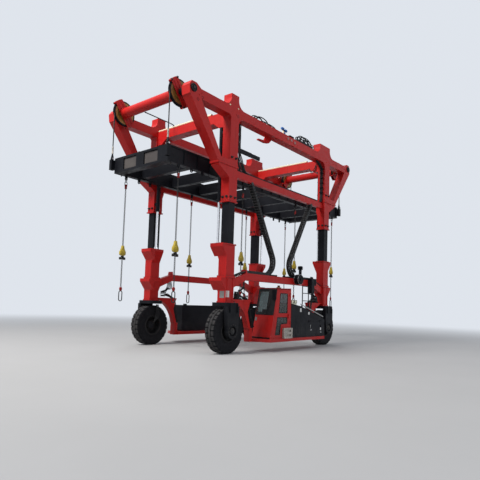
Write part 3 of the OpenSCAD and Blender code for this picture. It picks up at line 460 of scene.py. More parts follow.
def painted(name, colour, faded, rough, dust=0.5, dust_top=1.6, chips=0.5, runs=0.35, shine=0.2):
    """Sprayed enamel on steel plate: sun fading in large clouds, dark runs of
    rain down the sides, road dust near the ground, chips down to the primer,
    and the slight orange skin of thick paint."""
    f = Finish(name, colour, rough)
    f.cloud((0.9, 2), 0.35, 0.7, 0.8, faded)
    f.cloud((5, 4, (1.6, 1.6, 0.12)), 0.54, 0.78, runs, tuple(c * 0.28 for c in colour))
    near_ground = f.part(f.axis_value("Z"), 0.0, dust_top, 0.0, 1.0)
    f.cover(f.times(f.times(near_ground, f.part(f.noise(3.2, 5), 0.3, 0.75)), dust), ROAD_DUST)
    f.cloud((19, 4, (1, 1, 1), 0.7), 0.69, 0.72, chips, CHIPPED)
    f.rough = f.part(f.noise(7, 4), 0.25, 0.8, min(1.0, rough + 0.16), rough - 0.07)
    f.tune("Specular IOR Level", shine)
    f.relief(f.noise(150, 2), 0.05, 0.001).relief(f.noise(2.4, 1), 0.12, 0.004)
    return f.done()


def shelf_paint(black, red):
    """Black enamel of the valve gear, red on the shelf under the top beam."""
    f = Finish("valve_enamel", black, 0.45)
    f.cloud((4, 3), 0.4, 0.7, 0.6, tuple(c * 2 for c in black))
    z = f.axis_value("Z")
    f.cover(f.times(f.part(z, 7.09, 7.1), f.part(z, 7.349, 7.3495, 0.0, 1.0)), red)
    f.cloud((19, 4, (1, 1, 1), 0.7), 0.69, 0.72, 0.3, CHIPPED)
    f.rough = f.part(f.noise(7, 4), 0.25, 0.8, 0.6, 0.38)
    f.tune("Specular IOR Level", 0.1)
    return f.relief(f.noise(150, 2), 0.05, 0.001).done()


def greased_steel(name, colour, rough, metal=0.8, scale=60):
    """Bare or galvanised steel with grease and dust caught in its hollows."""
    f = Finish(name, colour, rough, metal)
    f.cloud((scale, 3), 0.4, 0.7, 0.7, tuple(c * 0.35 for c in colour))
    f.cloud((9, 4), 0.5, 0.75, 0.5, (0.1, 0.075, 0.05))
    f.rough = f.part(f.noise(scale * 0.6, 3), 0.3, 0.7, min(1, rough + 0.25), rough)
    return f.relief(f.noise(scale * 2, 2), 0.12).done()


def rubber(name, colour, rough, dusty, scale=90):
    """Moulded rubber: fine grain, scuffs, and grey dust where it has rolled."""
    f = Finish(name, colour, rough)
    f.tune("Specular IOR Level", 0.25)
    f.cloud((6, 5), 0.42, 0.72, dusty, ROAD_DUST)
    f.cloud((45, 3), 0.6, 0.75, 0.35, tuple(c * 2.4 for c in colour))
    f.rough = f.part(f.noise(12, 3), 0.3, 0.7, min(1, rough + 0.15), rough - 0.08)
    return f.relief(f.noise(scale, 3), 0.25, 0.002).done()


def rolled_rubber(name):
    """Tyre rubber: black side walls, and a tread worn grey by the road, where
    the distance from the axle is near the wheel's radius."""
    f = Finish(name, (0.011, 0.011, 0.013), 0.72)
    f.tune("Specular IOR Level", 0.1)
    f.cloud((7, 5), 0.45, 0.75, 0.25, (0.024, 0.024, 0.027))
    f.cover(f.times(f.part(f.axle_distance(), 0.672, 0.682), f.part(f.noise(12, 4), 0.25, 0.7, 0.9, 0.35)),
            (0.06, 0.058, 0.058))
    f.rough = f.part(f.noise(12, 3), 0.3, 0.7, 0.85, 0.62)
    return f.relief(f.noise(90, 3), 0.25, 0.002).done()


def moulded(name, colour, rough):
    """Moulded plastic with a fine leather grain and a few rubbed spots."""
    f = Finish(name, colour, rough)
    f.cloud((5, 3), 0.45, 0.75, 0.5, tuple(min(1, c * 1.7 + 0.01) for c in colour))
    f.rough = f.part(f.noise(14, 3), 0.3, 0.7, rough + 0.12, rough - 0.08)
    return f.relief(f.cells(220), 0.08, 0.0006).done()


def cast(name, colour, dark, rough=0.6, metal=0.3):
    """Cast iron: pitted skin, oily shade in the hollows, rubbed bright spots."""
    f = Finish(name, colour, rough, metal)
    f.cloud((8, 5), 0.4, 0.68, 0.85, dark)
    f.cloud((32, 3), 0.62, 0.74, 0.5, tuple(min(1, c * 1.6) for c in colour))
    f.rough = f.part(f.noise(16, 3), 0.3, 0.7, rough + 0.15, rough - 0.15)
    return f.relief(f.noise(70, 4), 0.3, 0.002).done()


def chromed(name):
    """Ground and chromed rod with fine rings of oil where the wiper stops."""
    f = Finish(name, (0.78, 0.78, 0.8), 0.14, 1.0)
    f.cloud((3, 3, (0.3, 0.3, 9)), 0.5, 0.75, 0.5, (0.45, 0.44, 0.42))
    f.rough = f.part(f.noise(5, 2, (0.2, 0.2, 14)), 0.35, 0.7, 0.34, 0.1)
    return f.relief(f.bands(160, "Z"), 0.03, 0.0004).done()


def glazing(name, colour, alpha, dusty=0.35):
    """Tinted pane, a little dusty towards its edges' drip marks."""
    f = Finish(name, colour, 0.05)
    f.cloud((4, 4, (1, 1, 0.3)), 0.5, 0.8, dusty, (0.16, 0.19, 0.185))
    f.rough = f.part(f.noise(9, 3), 0.4, 0.8, 0.2, 0.03)
    f.tune("Alpha", alpha)
    f.tune("IOR", 1.5)
    f.tune("Specular IOR Level", 0.8)
    return f.done()


def lens(name, colour, ribs):
    """Ribbed lamp lens."""
    f = Finish(name, colour, 0.18)
    f.cloud((30, 2), 0.4, 0.7, 0.4, tuple(c * 0.7 for c in colour))
    f.tune("Coat Weight", 0.6)
    return f.relief(f.bands(ribs, "X"), 0.4, 0.002).done()


def seat_cloth(name):
    """Woven seat cloth: two crossed fine bands for the threads, and wear."""
    f = Finish(name, (0.035, 0.036, 0.04), 0.85)
    weave = f.times(f.bands(260, "Y"), f.bands(260, "Z"), "ADD")
    f.cloud((9, 4), 0.45, 0.75, 0.6, (0.09, 0.085, 0.08))
    f.tune("Sheen Weight", 0.3)
    return f.relief(weave, 0.3, 0.0008).done()


BACKDROP, SKY = (0.74, 0.78, 0.84), (0.4, 0.42, 0.46)


def floor_finish():
    """Pale floor that shows white to the camera and keeps the object's shadow."""
    f = Finish("pale_floor", (0.42, 0.42, 0.42), 0.9)
    f.cloud((0.5, 4), 0.3, 0.75, 0.3, (0.38, 0.38, 0.38))
    f.relief(f.noise(14, 4), 0.06, 0.004).done()
    # far from the object it takes the backdrop's colour, so no edge shows
    away = f.length(f.axis_value("X"), f.axis_value("Y"))
    glow = f.node("ShaderNodeEmission")
    f.put(glow.inputs["Color"], (*BACKDROP, 1))
    mix = f.node("ShaderNodeMixShader")
    for socket, value in enumerate((f.times(f.part(away, 9.0, 34.0), f.looked_at()), f.shader.outputs[0],
                                    glow.outputs[0])):
        f.put(mix.inputs[socket], value)
    f.put(f.tree.nodes["Material Output"].inputs["Surface"], mix.outputs[0])
    return f.material


# ---------------------------------------------------------------- wheels
TREAD_BLOCKS, MIDDLE_RIB = 26, 0.045      # blocks round the tyre, half width of the rib no groove crosses
GROOVE_WALLS = [0.0, 0.03, 0.23, 0.26, 0.5, 0.53, 0.73, 0.76, 0.88]  # shares of a block's length
# half section of the tyre from the bead to the middle: radius, half width,
# height of the tread over the groove's floor, and its direction outwards
TYRE_SECTION = np.array([
    (0.331, 0.15, 0, 1), (0.342, 0.165, 0, 1), (0.352, 0.171, 0, 1), (0.372, 0.1745, 0, 1),
    (0.38, 0.1785, 0, 1), (0.398, 0.179, 0, 1),
    (0.404, 0.1765, 0, 1), (0.45, 0.1815, 0, 1), (0.505, 0.1845, 0, 1), (0.556, 0.185, 0, 1),
    (0.56, 0.1872, 0, 1), (0.58, 0.1872, 0, 1),
    (0.584, 0.1845, 0, 1), (0.6, 0.183, 0, 1), (0.606, 0.178, 0.008, 1), (0.636, 0.174, 0.0115, 1),
    (0.652, 0.17, 0.013, 0.9),
    (0.658, 0.156, 0.026, 0.25), (0.658, 0.148, 0.027, 0), (0.658, 0.076, 0.027, 0),
    (0.658, 0.07, 0.008, 0), (0.658, 0.056, 0.008, 0),
    (0.658, 0.05, 0.027, 0), (0.658, 0.022, 0.027, 0), (0.658, 0.0, 0.027, 0)])


def tyre(x, y):
    """Block-tread tyre as a function of the angle and the way round the
    section: the section turned about the axle, pushed outwards by the tread's
    height where a block stands and not in a cross groove. The grooves of the
    two halves are half a block apart, and a smooth step makes their walls."""
    half = TYRE_SECTION
    section = np.vstack([half, half[-2::-1] * [1, -1, 1, -1]])
    turn = ((np.arange(TREAD_BLOCKS)[:, None] + GROOVE_WALLS) / TREAD_BLOCKS).ravel() * TAU
    left = np.tile([1, 0, 0, 1, 1, 1, 1, 1, 1], TREAD_BLOCKS)
    right = np.tile([1, 1, 1, 1, 1, 0, 0, 1, 1], TREAD_BLOCKS)
    r, w, rise, lean = section.T
    stands = np.where(w >= MIDDLE_RIB, left[:, None], np.where(w <= -MIDDLE_RIB, right[:, None], 1))
    height = rise * stands
    r = r + height * np.sqrt(1 - lean ** 2)
    w = w + height * lean
    t = turn[:, None]
    points = columns(x + r * np.sin(t), y + w, WHEEL_R + r * np.cos(t))
    return grid(points, True, True)


def wheel_parts(x, y, sy):
    """Wheel nuts on the disc and the lock ring's split."""
    out = (0, sy, 0)
    nuts = bolt_ring(0.021, 10, 0.205, (x, y + sy * 0.0755, WHEEL_R), out, 1.0, 0.1)
    lock = lathe([(0.318, 0.178), (0.345, 0.178), (0.35, 0.184), (0.345, 0.187), (0.318, 0.186)],
                 (x, y, WHEEL_R), out, 48, True)
    return join(nuts, lock)


def drive_parts(x, y, sy):
    """On the fork: a bolt ring round the drive, and its stepped cover."""
    out = (0, sy, 0)
    face = y + sy * ARM_OUT
    bolts = bolt_ring(0.017, 12, 0.192, (x, face, WHEEL_R), out)
    cover = lathe([(0, 0.0), (0.1005, 0.0), (0.1005, 0.012), (0.088, 0.022), (0.052, 0.022), (0.046, 0.036),
                   (0, 0.038)],
                  (x, face - sy * 0.03, WHEEL_R), out, 32)
    return join(bolts, cover, bolt_ring(0.009, 8, 0.076, (x, face - sy * 0.01, WHEEL_R), out))


def fork_plates(x, y, sy):
    """Outer plates of the fork: the arm's skin, wide at the top and drawn in
    to the drive's ring, whose mouth it leaves open, and the top plate."""
    low, high, wide, r = WHEEL_R + 0.02, 1.43, 0.28, 0.17
    t = np.linspace(0, math.pi, 13)
    mouth = columns(r * np.cos(t), low + r * np.sin(t))
    arm = np.vstack([[(0.234, low)], mouth, [(-0.234, low), (-wide, WHEEL_R + 0.33), (-wide, high),
                                             (wide, high), (wide, WHEEL_R + 0.33)]])
    skin = plate(arm + [x, 0], 1, -ARM_OUT - 0.0012, 0.139 - ARM_OUT, 0.005)
    top = plate(rounded(x - wide, x + wide, -ARM_OUT - 0.0008, 0.3355, 0.1, 6), 2, 1.4235, 1.5335, 0.005)
    both = join(skin, top)
    both = both if sy < 0 else mirrored(both, 1)
    return both[0] + [0, y, 0], both[1], both[2]


def fork_hoses(x, y, sx, sy):
    """Drive hoses down the fork's inner side, from its top plate to the hub."""
    out = []
    for k, r in enumerate((0.018, 0.018, 0.012)):
        a = x - sx * (0.06 + 0.05 * k)
        out.append(tube([(a, y - sy * 0.24, 1.4), (a, y - sy * 0.262, 1.2),
                         (a + sx * 0.02, y - sy * (0.255 + 0.02 * k), 0.98),
                         (x, y - sy * 0.235, 0.8), (x, y - sy * 0.16, WHEEL_R + 0.03)], r, ASIDE))
    return join(*out)


# ---------------------------------------------------------------- bolts of the frame
def leg_toes():
    """Overhang of the near lower legs' flanges at the outer end, its end upright
    and its underside sloping back to the leg."""
    x, y, out = -LEG_END, -LEG_Y, 0.205
    toes = []
    for z in (TUBE_TOP + 0.0006, FOOT_TOP - 0.0306):
        outline = [(x + 0.002, z), (x - out, z), (x - out, z - 0.105), (x + 0.002, z - 0.105 - 1.35 * out)]
        toes.append(plate(outline, 1, y - LEG_D / 2 - 0.0006, y + LEG_D / 2 + 0.185, 0.004))
    return near_ends(join(*toes))


def leg_bolts():
    """Flange bolts of the near lower legs: over and under the foot's flange and on
    the tube's top flange."""
    up, down = facing(UP), facing((0, 0, -1))
    x, y = -LEG_X, -LEG_Y
    foot = copies(bolt(FLANGE_BOLT), round_flange(x, y, FOOT_TOP + 0.03, FLANGE_X, FLANGE_Y, 6, 5), up)
    top = copies(bolt(0.017), round_flange(x, y, TUBE_TOP, 0.19, 0.158, 5, 4), up)
    under = round_flange(x, y, FOOT_TOP - 0.03, FLANGE_X, FLANGE_Y, 6, 5)
    collar = round_flange(x, y, TUBE_TOP - 0.03, FLANGE_X, FLANGE_Y, 5, 4)
    # the outer row stands where the flange's overhang is solid
    under, collar = (copies(bolt(FLANGE_BOLT), rows[rows[:, 0] > x - FLANGE_X + 0.01], down)
                     for rows in (under, collar))
    return near_ends(join(foot, under, top, collar))


def pad_screws():
    """Adjusting screws of the wear pads: a stud with a lock nut and a square
    end, two to a face at the sleeve's mouth and two over the knee."""
    screw = join(bolt(0.034, 0.9), rod(0.017, 0.02, 0.07, n=10))
    x, y = -LEG_X, -LEG_Y
    side = [(x + dx, y - LEG_D / 2, z) for z in (4.78, 6.02) for dx in (-0.1, 0.1)]
    ends = [copies(screw, [(x + s * LEG_W / 2, y + dy, 4.78) for dy in (-0.08, 0.08)], facing((s, 0, 0)))
            for s in (-1, 1)]
    return all_ends(join(copies(screw, side, facing(OUT)), *ends))


def frame_bolts():
    """Bolts of the upper frame: sleeve mouths, knee seams, shaft caps."""
    up, down = facing(UP), facing((0, 0, -1))
    x, y = -LEG_X, -LEG_Y
    mouth = copies(bolt(FLANGE_BOLT), round_flange(x, y, SLEEVE_Z + 0.03, FLANGE_X, FLANGE_Y, 5, 4), up)
    knee = np.array([(a, b, KNEE_Z) for a in np.linspace(-3.655, -2.785, 8)
                     for b in (y - FLANGE_Y, y + FLANGE_Y)])
    knee = join(copies(bolt(SEAM_BOLT), knee + [0, 0, 0.028], up),
                copies(bolt(SEAM_BOLT), knee - [0, 0, 0.028], down))
    face = -LEG_FACE - 0.03
    at = (-SHEAVE[0], face, SHEAVE[2])
    cap = bolt_ring(0.015, 8, 0.092, at, OUT)
    hub = lathe([(0, 0), (0.045, 0), (0.045, 0.008), (0.03, 0.016), (0, 0.018)], at, OUT, 20)
    return all_ends(join(mouth, knee, cap, hub))


def keeper_places(y):
    """Places of the four keeper bars round the near left sheave."""
    turn = np.array([k * math.pi - CHEEK_LEAN + d * math.radians(17) for k in (0, 1) for d in (-1, 1)])
    return columns(KEEPER_AT * np.sin(turn) - SHEAVE[0], y, SHEAVE[2] + KEEPER_AT * np.cos(turn))


def shaft_bolts():
    """Coupling bolts round the torque tube's flanges, and the keeper bars'
    nuts at the four corners of each outer cheek."""
    couplings = bolt_ring(0.013, 10, 0.172, (-SHEAVE[0], -1.2037, SHEAVE[2]), ACROSS)
    return all_ends(join(couplings, copies(bolt(0.027, 0.9), keeper_places(-CHEEK_FACE), facing(OUT))))


def sheave_at(sx, sy):
    """Centre of a corner's sheave."""
    return sx * SHEAVE[0], sy * SHEAVE[1], SHEAVE[2]


def torque_tubes():
    """Torque tube of each end with its two coupling flanges."""
    half = [(0.16, 1.183), (0.183, 1.183), (0.185, 1.185), (0.185, 1.2017), (0.183, 1.2037), (0, 1.2037)]
    profile = [(r, -h) for r, h in half[::-1]] + half
    return join(*[lathe(profile, sheave_at(sx, 0), ACROSS, 48) for sx in (-1, 1)])


def sheave_cheeks():
    """Two cheek plates beside each sheave, leaning strips whose ends are round
    about the axle, with two pressed ribs, and the keeper bars between them."""
    x, y, z = SHEAVE
    r, wide, end = 0.452, 0.17, 0.1496
    c, s = math.cos(CHEEK_LEAN), math.sin(CHEEK_LEAN)

    def leant(points):
        a = np.asarray(points, float)
        return columns(c * a[:, 0] - s * a[:, 1] - x, s * a[:, 0] + c * a[:, 1] + z)

    arc = np.linspace(math.asin(end / r), -math.asin(end / r), 9)
    top = columns(r * np.sin(arc), r * np.cos(arc))
    outline = leant(np.vstack([top, [(-wide, 0)], -top, [(wide, 0)]]))
    parts = []
    for k in (-1, 1):
        inner, outer = y - k * 0.0483, y - k * 0.0643
        parts.append(plate(outline, 1, -max(inner, outer), -min(inner, outer), 0.003))
        for a in (-0.078, 0.05):
            far = outer - k * 0.012
            parts.append(plate(leant(rounded(a, a + 0.028, -0.385, 0.385, 0.012)), 1,
                               -max(outer, far) - 0.0004, -min(outer, far) + 0.0004, 0.003))
    parts.append(copies(rod(0.018, -0.064, 0.064, axis=ACROSS, n=14), keeper_places(-y)))
    return all_ends(join(*parts))


def sheave_body(sx, sy):
    """Cast body of the sheave: hub, web and the rim's inner band."""
    half = [(0.0753, 0.0478), (0.13, 0.0478), (0.135, 0.043), (0.138, 0.0155), (0.262, 0.0155),
            (0.27, 0.021), (0.272, 0.034), (0.275, 0.0362), (0.353, 0.0362)]
    profile = half + [(r, -h) for r, h in half[::-1]]
    return lathe(profile, sheave_at(sx, sy), ACROSS, 64, True)


def axle_sleeves():
    """Axle of each sheave with its black sleeve from the cheek to the nose
    plate, stepped where the frame begins, and the end cap's turned face."""
    x, _, z = SHEAVE
    at, out = (-x, 0, z), OUT
    axle = rod(0.075, 1.19, 1.9, at, out, 32)
    sleeve = lathe([(0.074, 1.366), (0.098, 1.366), (0.104, 1.37), (0.104, 1.555), (0.116, 1.557),
                    (0.116, 1.5745), (0.074, 1.5745)], at, out, 32, True)
    cap = lathe([(0, 1.895), (0.1205, 1.895), (0.1205, 1.918), (0.113, 1.9262), (0.07, 1.9262),
                 (0.066, 1.9235), (0, 1.9235)], at, out, 36)
    return all_ends(join(axle, sleeve, cap))


# ---------------------------------------------------------------- hoisting gear
def wire_rope(start, end):
    """Six-strand rope: a six-lobed circle carried along the line while it
    turns once in each length of lay."""
    start, end = np.asarray(start, float), np.asarray(end, float)
    n = int(np.linalg.norm(end - start) / 0.012) + 2
    s = np.linspace(0, 1, n)
    path = start + s[:, None] * (end - start)
    t = np.arange(18) * TAU / 18
    spin = s[:, None] * np.linalg.norm(end - start) / ROPE_LAY * TAU
    rr = ROPE_DRAWN * (0.9 + 0.13 * np.cos(6 * t))[None]
    profile = columns(rr * np.cos(t + spin), rr * np.sin(t + spin))
    return sweep(path, profile, ALONG if abs(unit(end - start)[0]) < 0.9 else UP)


def rope_falls():
    """The four falls of rope, from the sockets to the sheaves."""
    return join(*[wire_rope((sx * ROPE_X, sy * SHEAVE[1], SPREADER[3] + 0.14),
                            (sx * ROPE_X, sy * SHEAVE[1], SHEAVE[2]))
                  for _, sx, sy in ENDS])


def rope_sockets():
    """Zinc sleeve swaged on each fall over its socket: a bar with a bead at
    both ends and a taper up to the rope."""
    profile = [(0, 0), (0.03, 0), (0.032, 0.012), (0.027, 0.024), (0.026, 0.175), (0.03, 0.186),
               (0.028, 0.2), (0.022, 0.232), (0, 0.232)]
    return join(*[lathe(profile, (sx * ROPE_X, sy * SHEAVE[1], SPREADER[3] + 0.145), UP, 16) for _, sx,
                  sy in ENDS])


def rope_turns(sx, sy):
    """Rope lying in the sheave's groove: a ring with slanting strands."""
    t = np.linspace(0, TAU, 181)[:-1]
    r = GROOVE_R + ROPE_R
    path = columns(sx * SHEAVE[0] + r * np.cos(t), sy * SHEAVE[1], SHEAVE[2] + r * np.sin(t))
    a = np.arange(10) * TAU / 10
    rr = ROPE_R * (0.92 + 0.1 * np.cos(5 * a[None] + 90 * t[:, None]))
    return sweep(path, columns(rr * np.cos(a), rr * np.sin(a)), ACROSS, True)


def sheave_rims(sx, sy):
    """Black-painted rim of the sheave: the side bands, the rounded lips and the
    rope groove with its round floor, as one closed ring."""
    t = np.linspace(0.16 * math.pi, 0.84 * math.pi, 9)
    floor = columns(GROOVE_R + 0.014 - 0.0125 * np.sin(t), 0.0165 * np.cos(t))
    r = SHEAVE_R + 0.0004
    band = [(0.352, 0.0361), (0.354, 0.0368), (r - 0.003, 0.0368), (r, 0.034), (r, 0.0285)]
    under = [(0.372, -0.03), (0.345, -0.023), (0.345, 0.023), (0.372, 0.03)]
    profile = band + floor.tolist() + [(a, -b) for a, b in band[::-1]] + under
    return lathe(profile, sheave_at(sx, sy), ACROSS, 72, True)


# ---------------------------------------------------------------- slings
def oval(length, width, wire, n=14, m=6):
    """Chain link: a wire carried round a stretched loop in the XZ plane whose
    ends are half circles."""
    t = np.arange(n) * TAU / n
    r = width / 2 - wire
    straight = length / 2 - wire - r
    x, z = r * np.cos(t), r * np.sin(t) + np.where(np.sin(t) >= 0, 1, -1) * straight
    return sweep(columns(x, np.zeros(n), z), ring(wire, m), ACROSS, True)


def on_slings(shape, z):
    """The shape once on each sling, at a height."""
    return copies(shape, [(x, s * SLING_Y, z) for s in (-1, 1) for x in SLING_X])


def sling_links():
    """The slings' chains: links a pitch apart, every second one turned
    a quarter, from the clutch down to the hook."""
    wire, pitch = 0.0085, 0.058
    link = oval(pitch + 2 * wire, 0.056, wire, 12, 5)
    top, low = LUG_Z - 0.28, LINK_TOP + 0.1
    n = int((top - low) / pitch)
    z = np.linspace(low + pitch / 2, top - pitch / 2, n)
    quarter = np.array([[0, -1, 0], [1, 0, 0], [0, 0, 1.0]])
    frames = np.where((np.arange(n) % 2)[:, None, None] == 0, np.eye(3), quarter)
    return on_slings(copies(link, columns(0, 0, z), frames), 0)


def sling_shackles():
    """Bow shackle at each lug, its pin and nut, and the master link below it."""
    bow = smooth_path([(0, -0.026, 0.052), (0, -0.028, 0.02), (0, -0.036, -0.03), (0, 0, -0.062),
                       (0, 0.036, -0.03), (0, 0.028, 0.02), (0, 0.026, 0.052)], 5)
    shape = join(sweep(bow, ring(0.01, 8), ALONG),
                 rod(0.011, -0.05, 0.05, (0, 0, 0.045), ACROSS),
                 rod(0.02, 0.038, 0.054, (0, 0, 0.045), ACROSS, 6))
    return join(on_slings(shape, LUG_Z), on_slings(oval(0.19, 0.11, 0.011, 18, 8), LUG_Z - 0.128))


def sling_fittings():
    """Painted clutch near the top of each sling, a plate with a waisted
    outline, and the eight-sided clip over the long link at its foot."""
    clutch = plate([(-0.03, -0.06), (0.03, -0.06), (0.045, -0.02), (0.026, 0.0), (0.045, 0.02),
                    (0.034, 0.085), (-0.034, 0.085),
                    (-0.045, 0.02), (-0.026, 0.0), (-0.045, -0.02)], 1, -0.02, 0.02, 0.006)
    clip = plate([(-0.024, -0.055), (0.024, -0.055), (0.046, -0.02), (0.046, 0.03), (0.02, 0.062),
                  (-0.02, 0.062), (-0.046, 0.03), (-0.046, -0.02)], 1, -0.022, 0.022, 0.006)
    return join(on_slings(clutch, LUG_Z - 0.22), on_slings(clip, LINK_TOP + 0.045))


def lever_hoists():
    """Lever hoist that tightens each sling: a body drawn in towards its top
    suspension, and a round gear cover on both sides."""
    body = plate([(-0.105, 0.02), (-0.06, -0.02), (0.06, -0.02), (0.105, 0.02), (0.105, 0.1), (0.05, 0.2),
                  (0.03, 0.3), (-0.03, 0.3), (-0.05, 0.2), (-0.105, 0.1)], 1, -0.045, 0.045, 0.01)
    cover = [(0, 0.04), (0.078, 0.04), (0.078, 0.052), (0.066, 0.062), (0.03, 0.062), (0.026, 0.074),
             (0, 0.076)]
    return on_slings(join(body, *[lathe(cover, (0, 0, 0.075), (0, s, 0), 20) for s in (-1, 1)]), HOIST_Z)


def hoist_guides():
    """Under each lever hoist: the chain guide, two blocks on a bar, and the lever."""
    guide = lathe([(0, -0.055), (0.026, -0.055), (0.03, -0.045), (0.03, 0.045), (0.026, 0.055), (0, 0.055)],
                  (0, 0, -0.055), ACROSS, 14)
    wings = [block((x - 0.03, -0.03, -0.15), (x + 0.03, 0.03, -0.07), 0.008) for x in (-0.075, 0.075)]
    bar = block((-0.075, -0.014, -0.125), (0.075, 0.014, -0.1), 0.004)
    lever = sweep([(0.0, 0.078, 0.075), (0.05, 0.084, 0.02), (0.13, 0.084, -0.07), (0.15, 0.084, -0.095)],
                  ring(0.011, 8), ACROSS)
    return on_slings(join(guide, bar, lever, *wings), HOIST_Z)


def sling_rings():
    """Long link at the foot of each sling: a heavy wire carried round a
    stretched loop whose ends are half circles."""
    return on_slings(oval(LINK_TOP - LINK_LOW, 0.15, 0.015, 24, 8), (LINK_TOP + LINK_LOW) / 2)


# ---------------------------------------------------------------- energy chains
CHAIN_R, CHAIN_H = 0.43, 0.09
CHAIN_LOOP = (-0.95, TIE_TOP + CHAIN_H / 2 + CHAIN_R)
CHAIN_END, CHAIN_UP, CHAIN_LEAVES = -2.045, (-1.9, 5.47), math.radians(31)


def chain_path(n):
    """Middle line of the energy chain by its length: along the tie beam, round
    the loop, and straight up to the side rail. Points in X and Z, evenly spaced."""
    cx, cz = CHAIN_LOOP
    t = np.linspace(-math.pi / 2, CHAIN_LEAVES, 60)
    arc = columns(cx + CHAIN_R * np.cos(t), cz + CHAIN_R * np.sin(t))
    line = np.vstack([[CHAIN_END, cz - CHAIN_R], arc, CHAIN_UP])
    along = np.concatenate([[0], np.cumsum(np.linalg.norm(np.diff(line, axis=0), axis=1))])
    s = (np.arange(n) + 0.5) / n * along[-1]
    return columns(np.interp(s, along, line[:, 0]), np.interp(s, along, line[:, 1])), along[-1] / n


def chain_links():
    """Links of the energy chain: two round-ended side plates, offset in turn
    so that they lap, and two cross bars, each link along the path's slope."""
    n = 50
    p, pitch = chain_path(n)
    h = CHAIN_H / 2 - 0.001
    t = np.linspace(-math.pi / 2, math.pi / 2, 7)
    a = pitch / 2
    side = np.vstack([columns(a + h * 0.8 * np.cos(t), h * np.sin(t)),
                      columns(-a - h * 0.1 - h * 0.8 * np.cos(t), -h * np.sin(t))])
    parts = []
    for s in (-1, 1):
        parts.append(plate(side, 1, min(s * 0.08, s * 0.0985), max(s * 0.08, s * 0.0985), 0.003))
        parts.append(lathe([(0, 0), (0.02, 0), (0.018, 0.004), (0, 0.005)], (a, s * 0.095, 0), (0, s, 0), 10))
        parts.append(block((-0.016, -0.086, s * h - 0.01 * (s > 0)), (0.016, 0.086, s * h + 0.01 * (s < 0)),
                           0.003))
    slope = unit(np.gradient(p, axis=0))
    frames = np.zeros((n, 3, 3))
    frames[:, 0, 0], frames[:, 2, 0] = slope[:, 0], slope[:, 1]
    frames[:, 1, 1] = 1
    frames[:, 0, 2], frames[:, 2, 2] = -slope[:, 1], slope[:, 0]
    return pair(copies(join(*parts), columns(p[:, 0], -LEG_Y, p[:, 1]), frames), 0)


def chain_hoses():
    """Hoses and cables inside the energy chain."""
    p, _ = chain_path(90)
    return pair(join(*[sweep(columns(p[:, 0], -LEG_Y + off, p[:, 1]), ring(r, 7), ACROSS)
                       for off, r in ((-0.055, 0.019), (-0.012, 0.014), (0.024, 0.017), (0.06, 0.012))]), 0)


# ---------------------------------------------------------------- hoses and valves
def ferrule(at, axis, r):
    """Hose end: a crimped sleeve with two waists, and a hexagon union."""
    sleeve = lathe([(0, 0), (r * 1.35, 0), (r * 1.35, r), (r * 1.2, r * 1.2), (r * 1.35, r * 1.4),
                    (r * 1.35, r * 2.6), (0, r * 2.6)], at, axis, 12)
    return join(sleeve, rod(r * 1.55, r * 2.6, r * 4, at, axis, 6))


def arch(x0, x1, y, z0, top, r):
    """Hose that rises from one union, arches over and comes down to another."""
    mid = (x0 + x1) / 2
    reach = (x1 - x0) / 2
    t = np.linspace(0, math.pi, 13)
    path = columns(mid - reach * np.cos(t) * (1 + 0.12 * np.sin(t)), y,
                   z0 + 0.05 + (top - z0 - 0.05) * np.sin(t) ** 0.8)
    path = np.vstack([[x0, y, z0 + 0.03], path[1:-1], [x1, y, z0 + 0.03]])
    return tube(path, r, (0, 1, 0.02), 8, 3)


def beam_hoses():
    """Hoses over the near top beam: low arches at the left valve, a bundle
    along the beam, and high arches at the right one."""
    z = BEAM_TOP
    out = [arch(-1.86, -1.2, -1.66, z, z + 0.24, 0.018), arch(-1.8, -1.28, -1.71, z, z + 0.2, 0.016),
           arch(-1.72, -1.1, -1.78, z, z + 0.21, 0.018),
           arch(-1.42, -0.72, -1.7, z, z + 0.17, 0.016), arch(-1.25, -0.6, -1.76, z, z + 0.13, 0.016),
           arch(0.84, 1.46, -1.68, z + 0.08, z + 0.31, 0.018),
           arch(0.9, 1.62, -1.74, z + 0.08, z + 0.36, 0.018),
           arch(1.02, 1.74, -1.8, z + 0.08, z + 0.33, 0.016),
           arch(1.12, 1.8, -1.7, z + 0.08, z + 0.28, 0.016),
           arch(1.3, 1.88, -1.76, z + 0.08, z + 0.3, 0.018), arch(1.5, 2.02, -1.8, z + 0.02, z + 0.2, 0.014)]
    for k in range(4):
        y = -1.66 - 0.035 * k
        wave = 0.012 * math.sin(2.0 * k)
        out.append(tube([(-0.72 + 0.05 * k, y, z + 0.03), (-0.5, y, z + 0.022 + 0.01 * k),
                         (-0.2, y + wave, z + 0.02), (0.1, y, z + 0.03 + abs(wave)), (0.26, y, z + 0.05)],
                         0.015, (0, 1, 0.02)))
        out.append(tube([(0.5, y, z + 0.05), (0.62, y + wave, z + 0.03), (0.78, y, z + 0.04),
                         (0.84, y, z + 0.07)], 0.015, (0, 1, 0.02)))
    return join(*out)


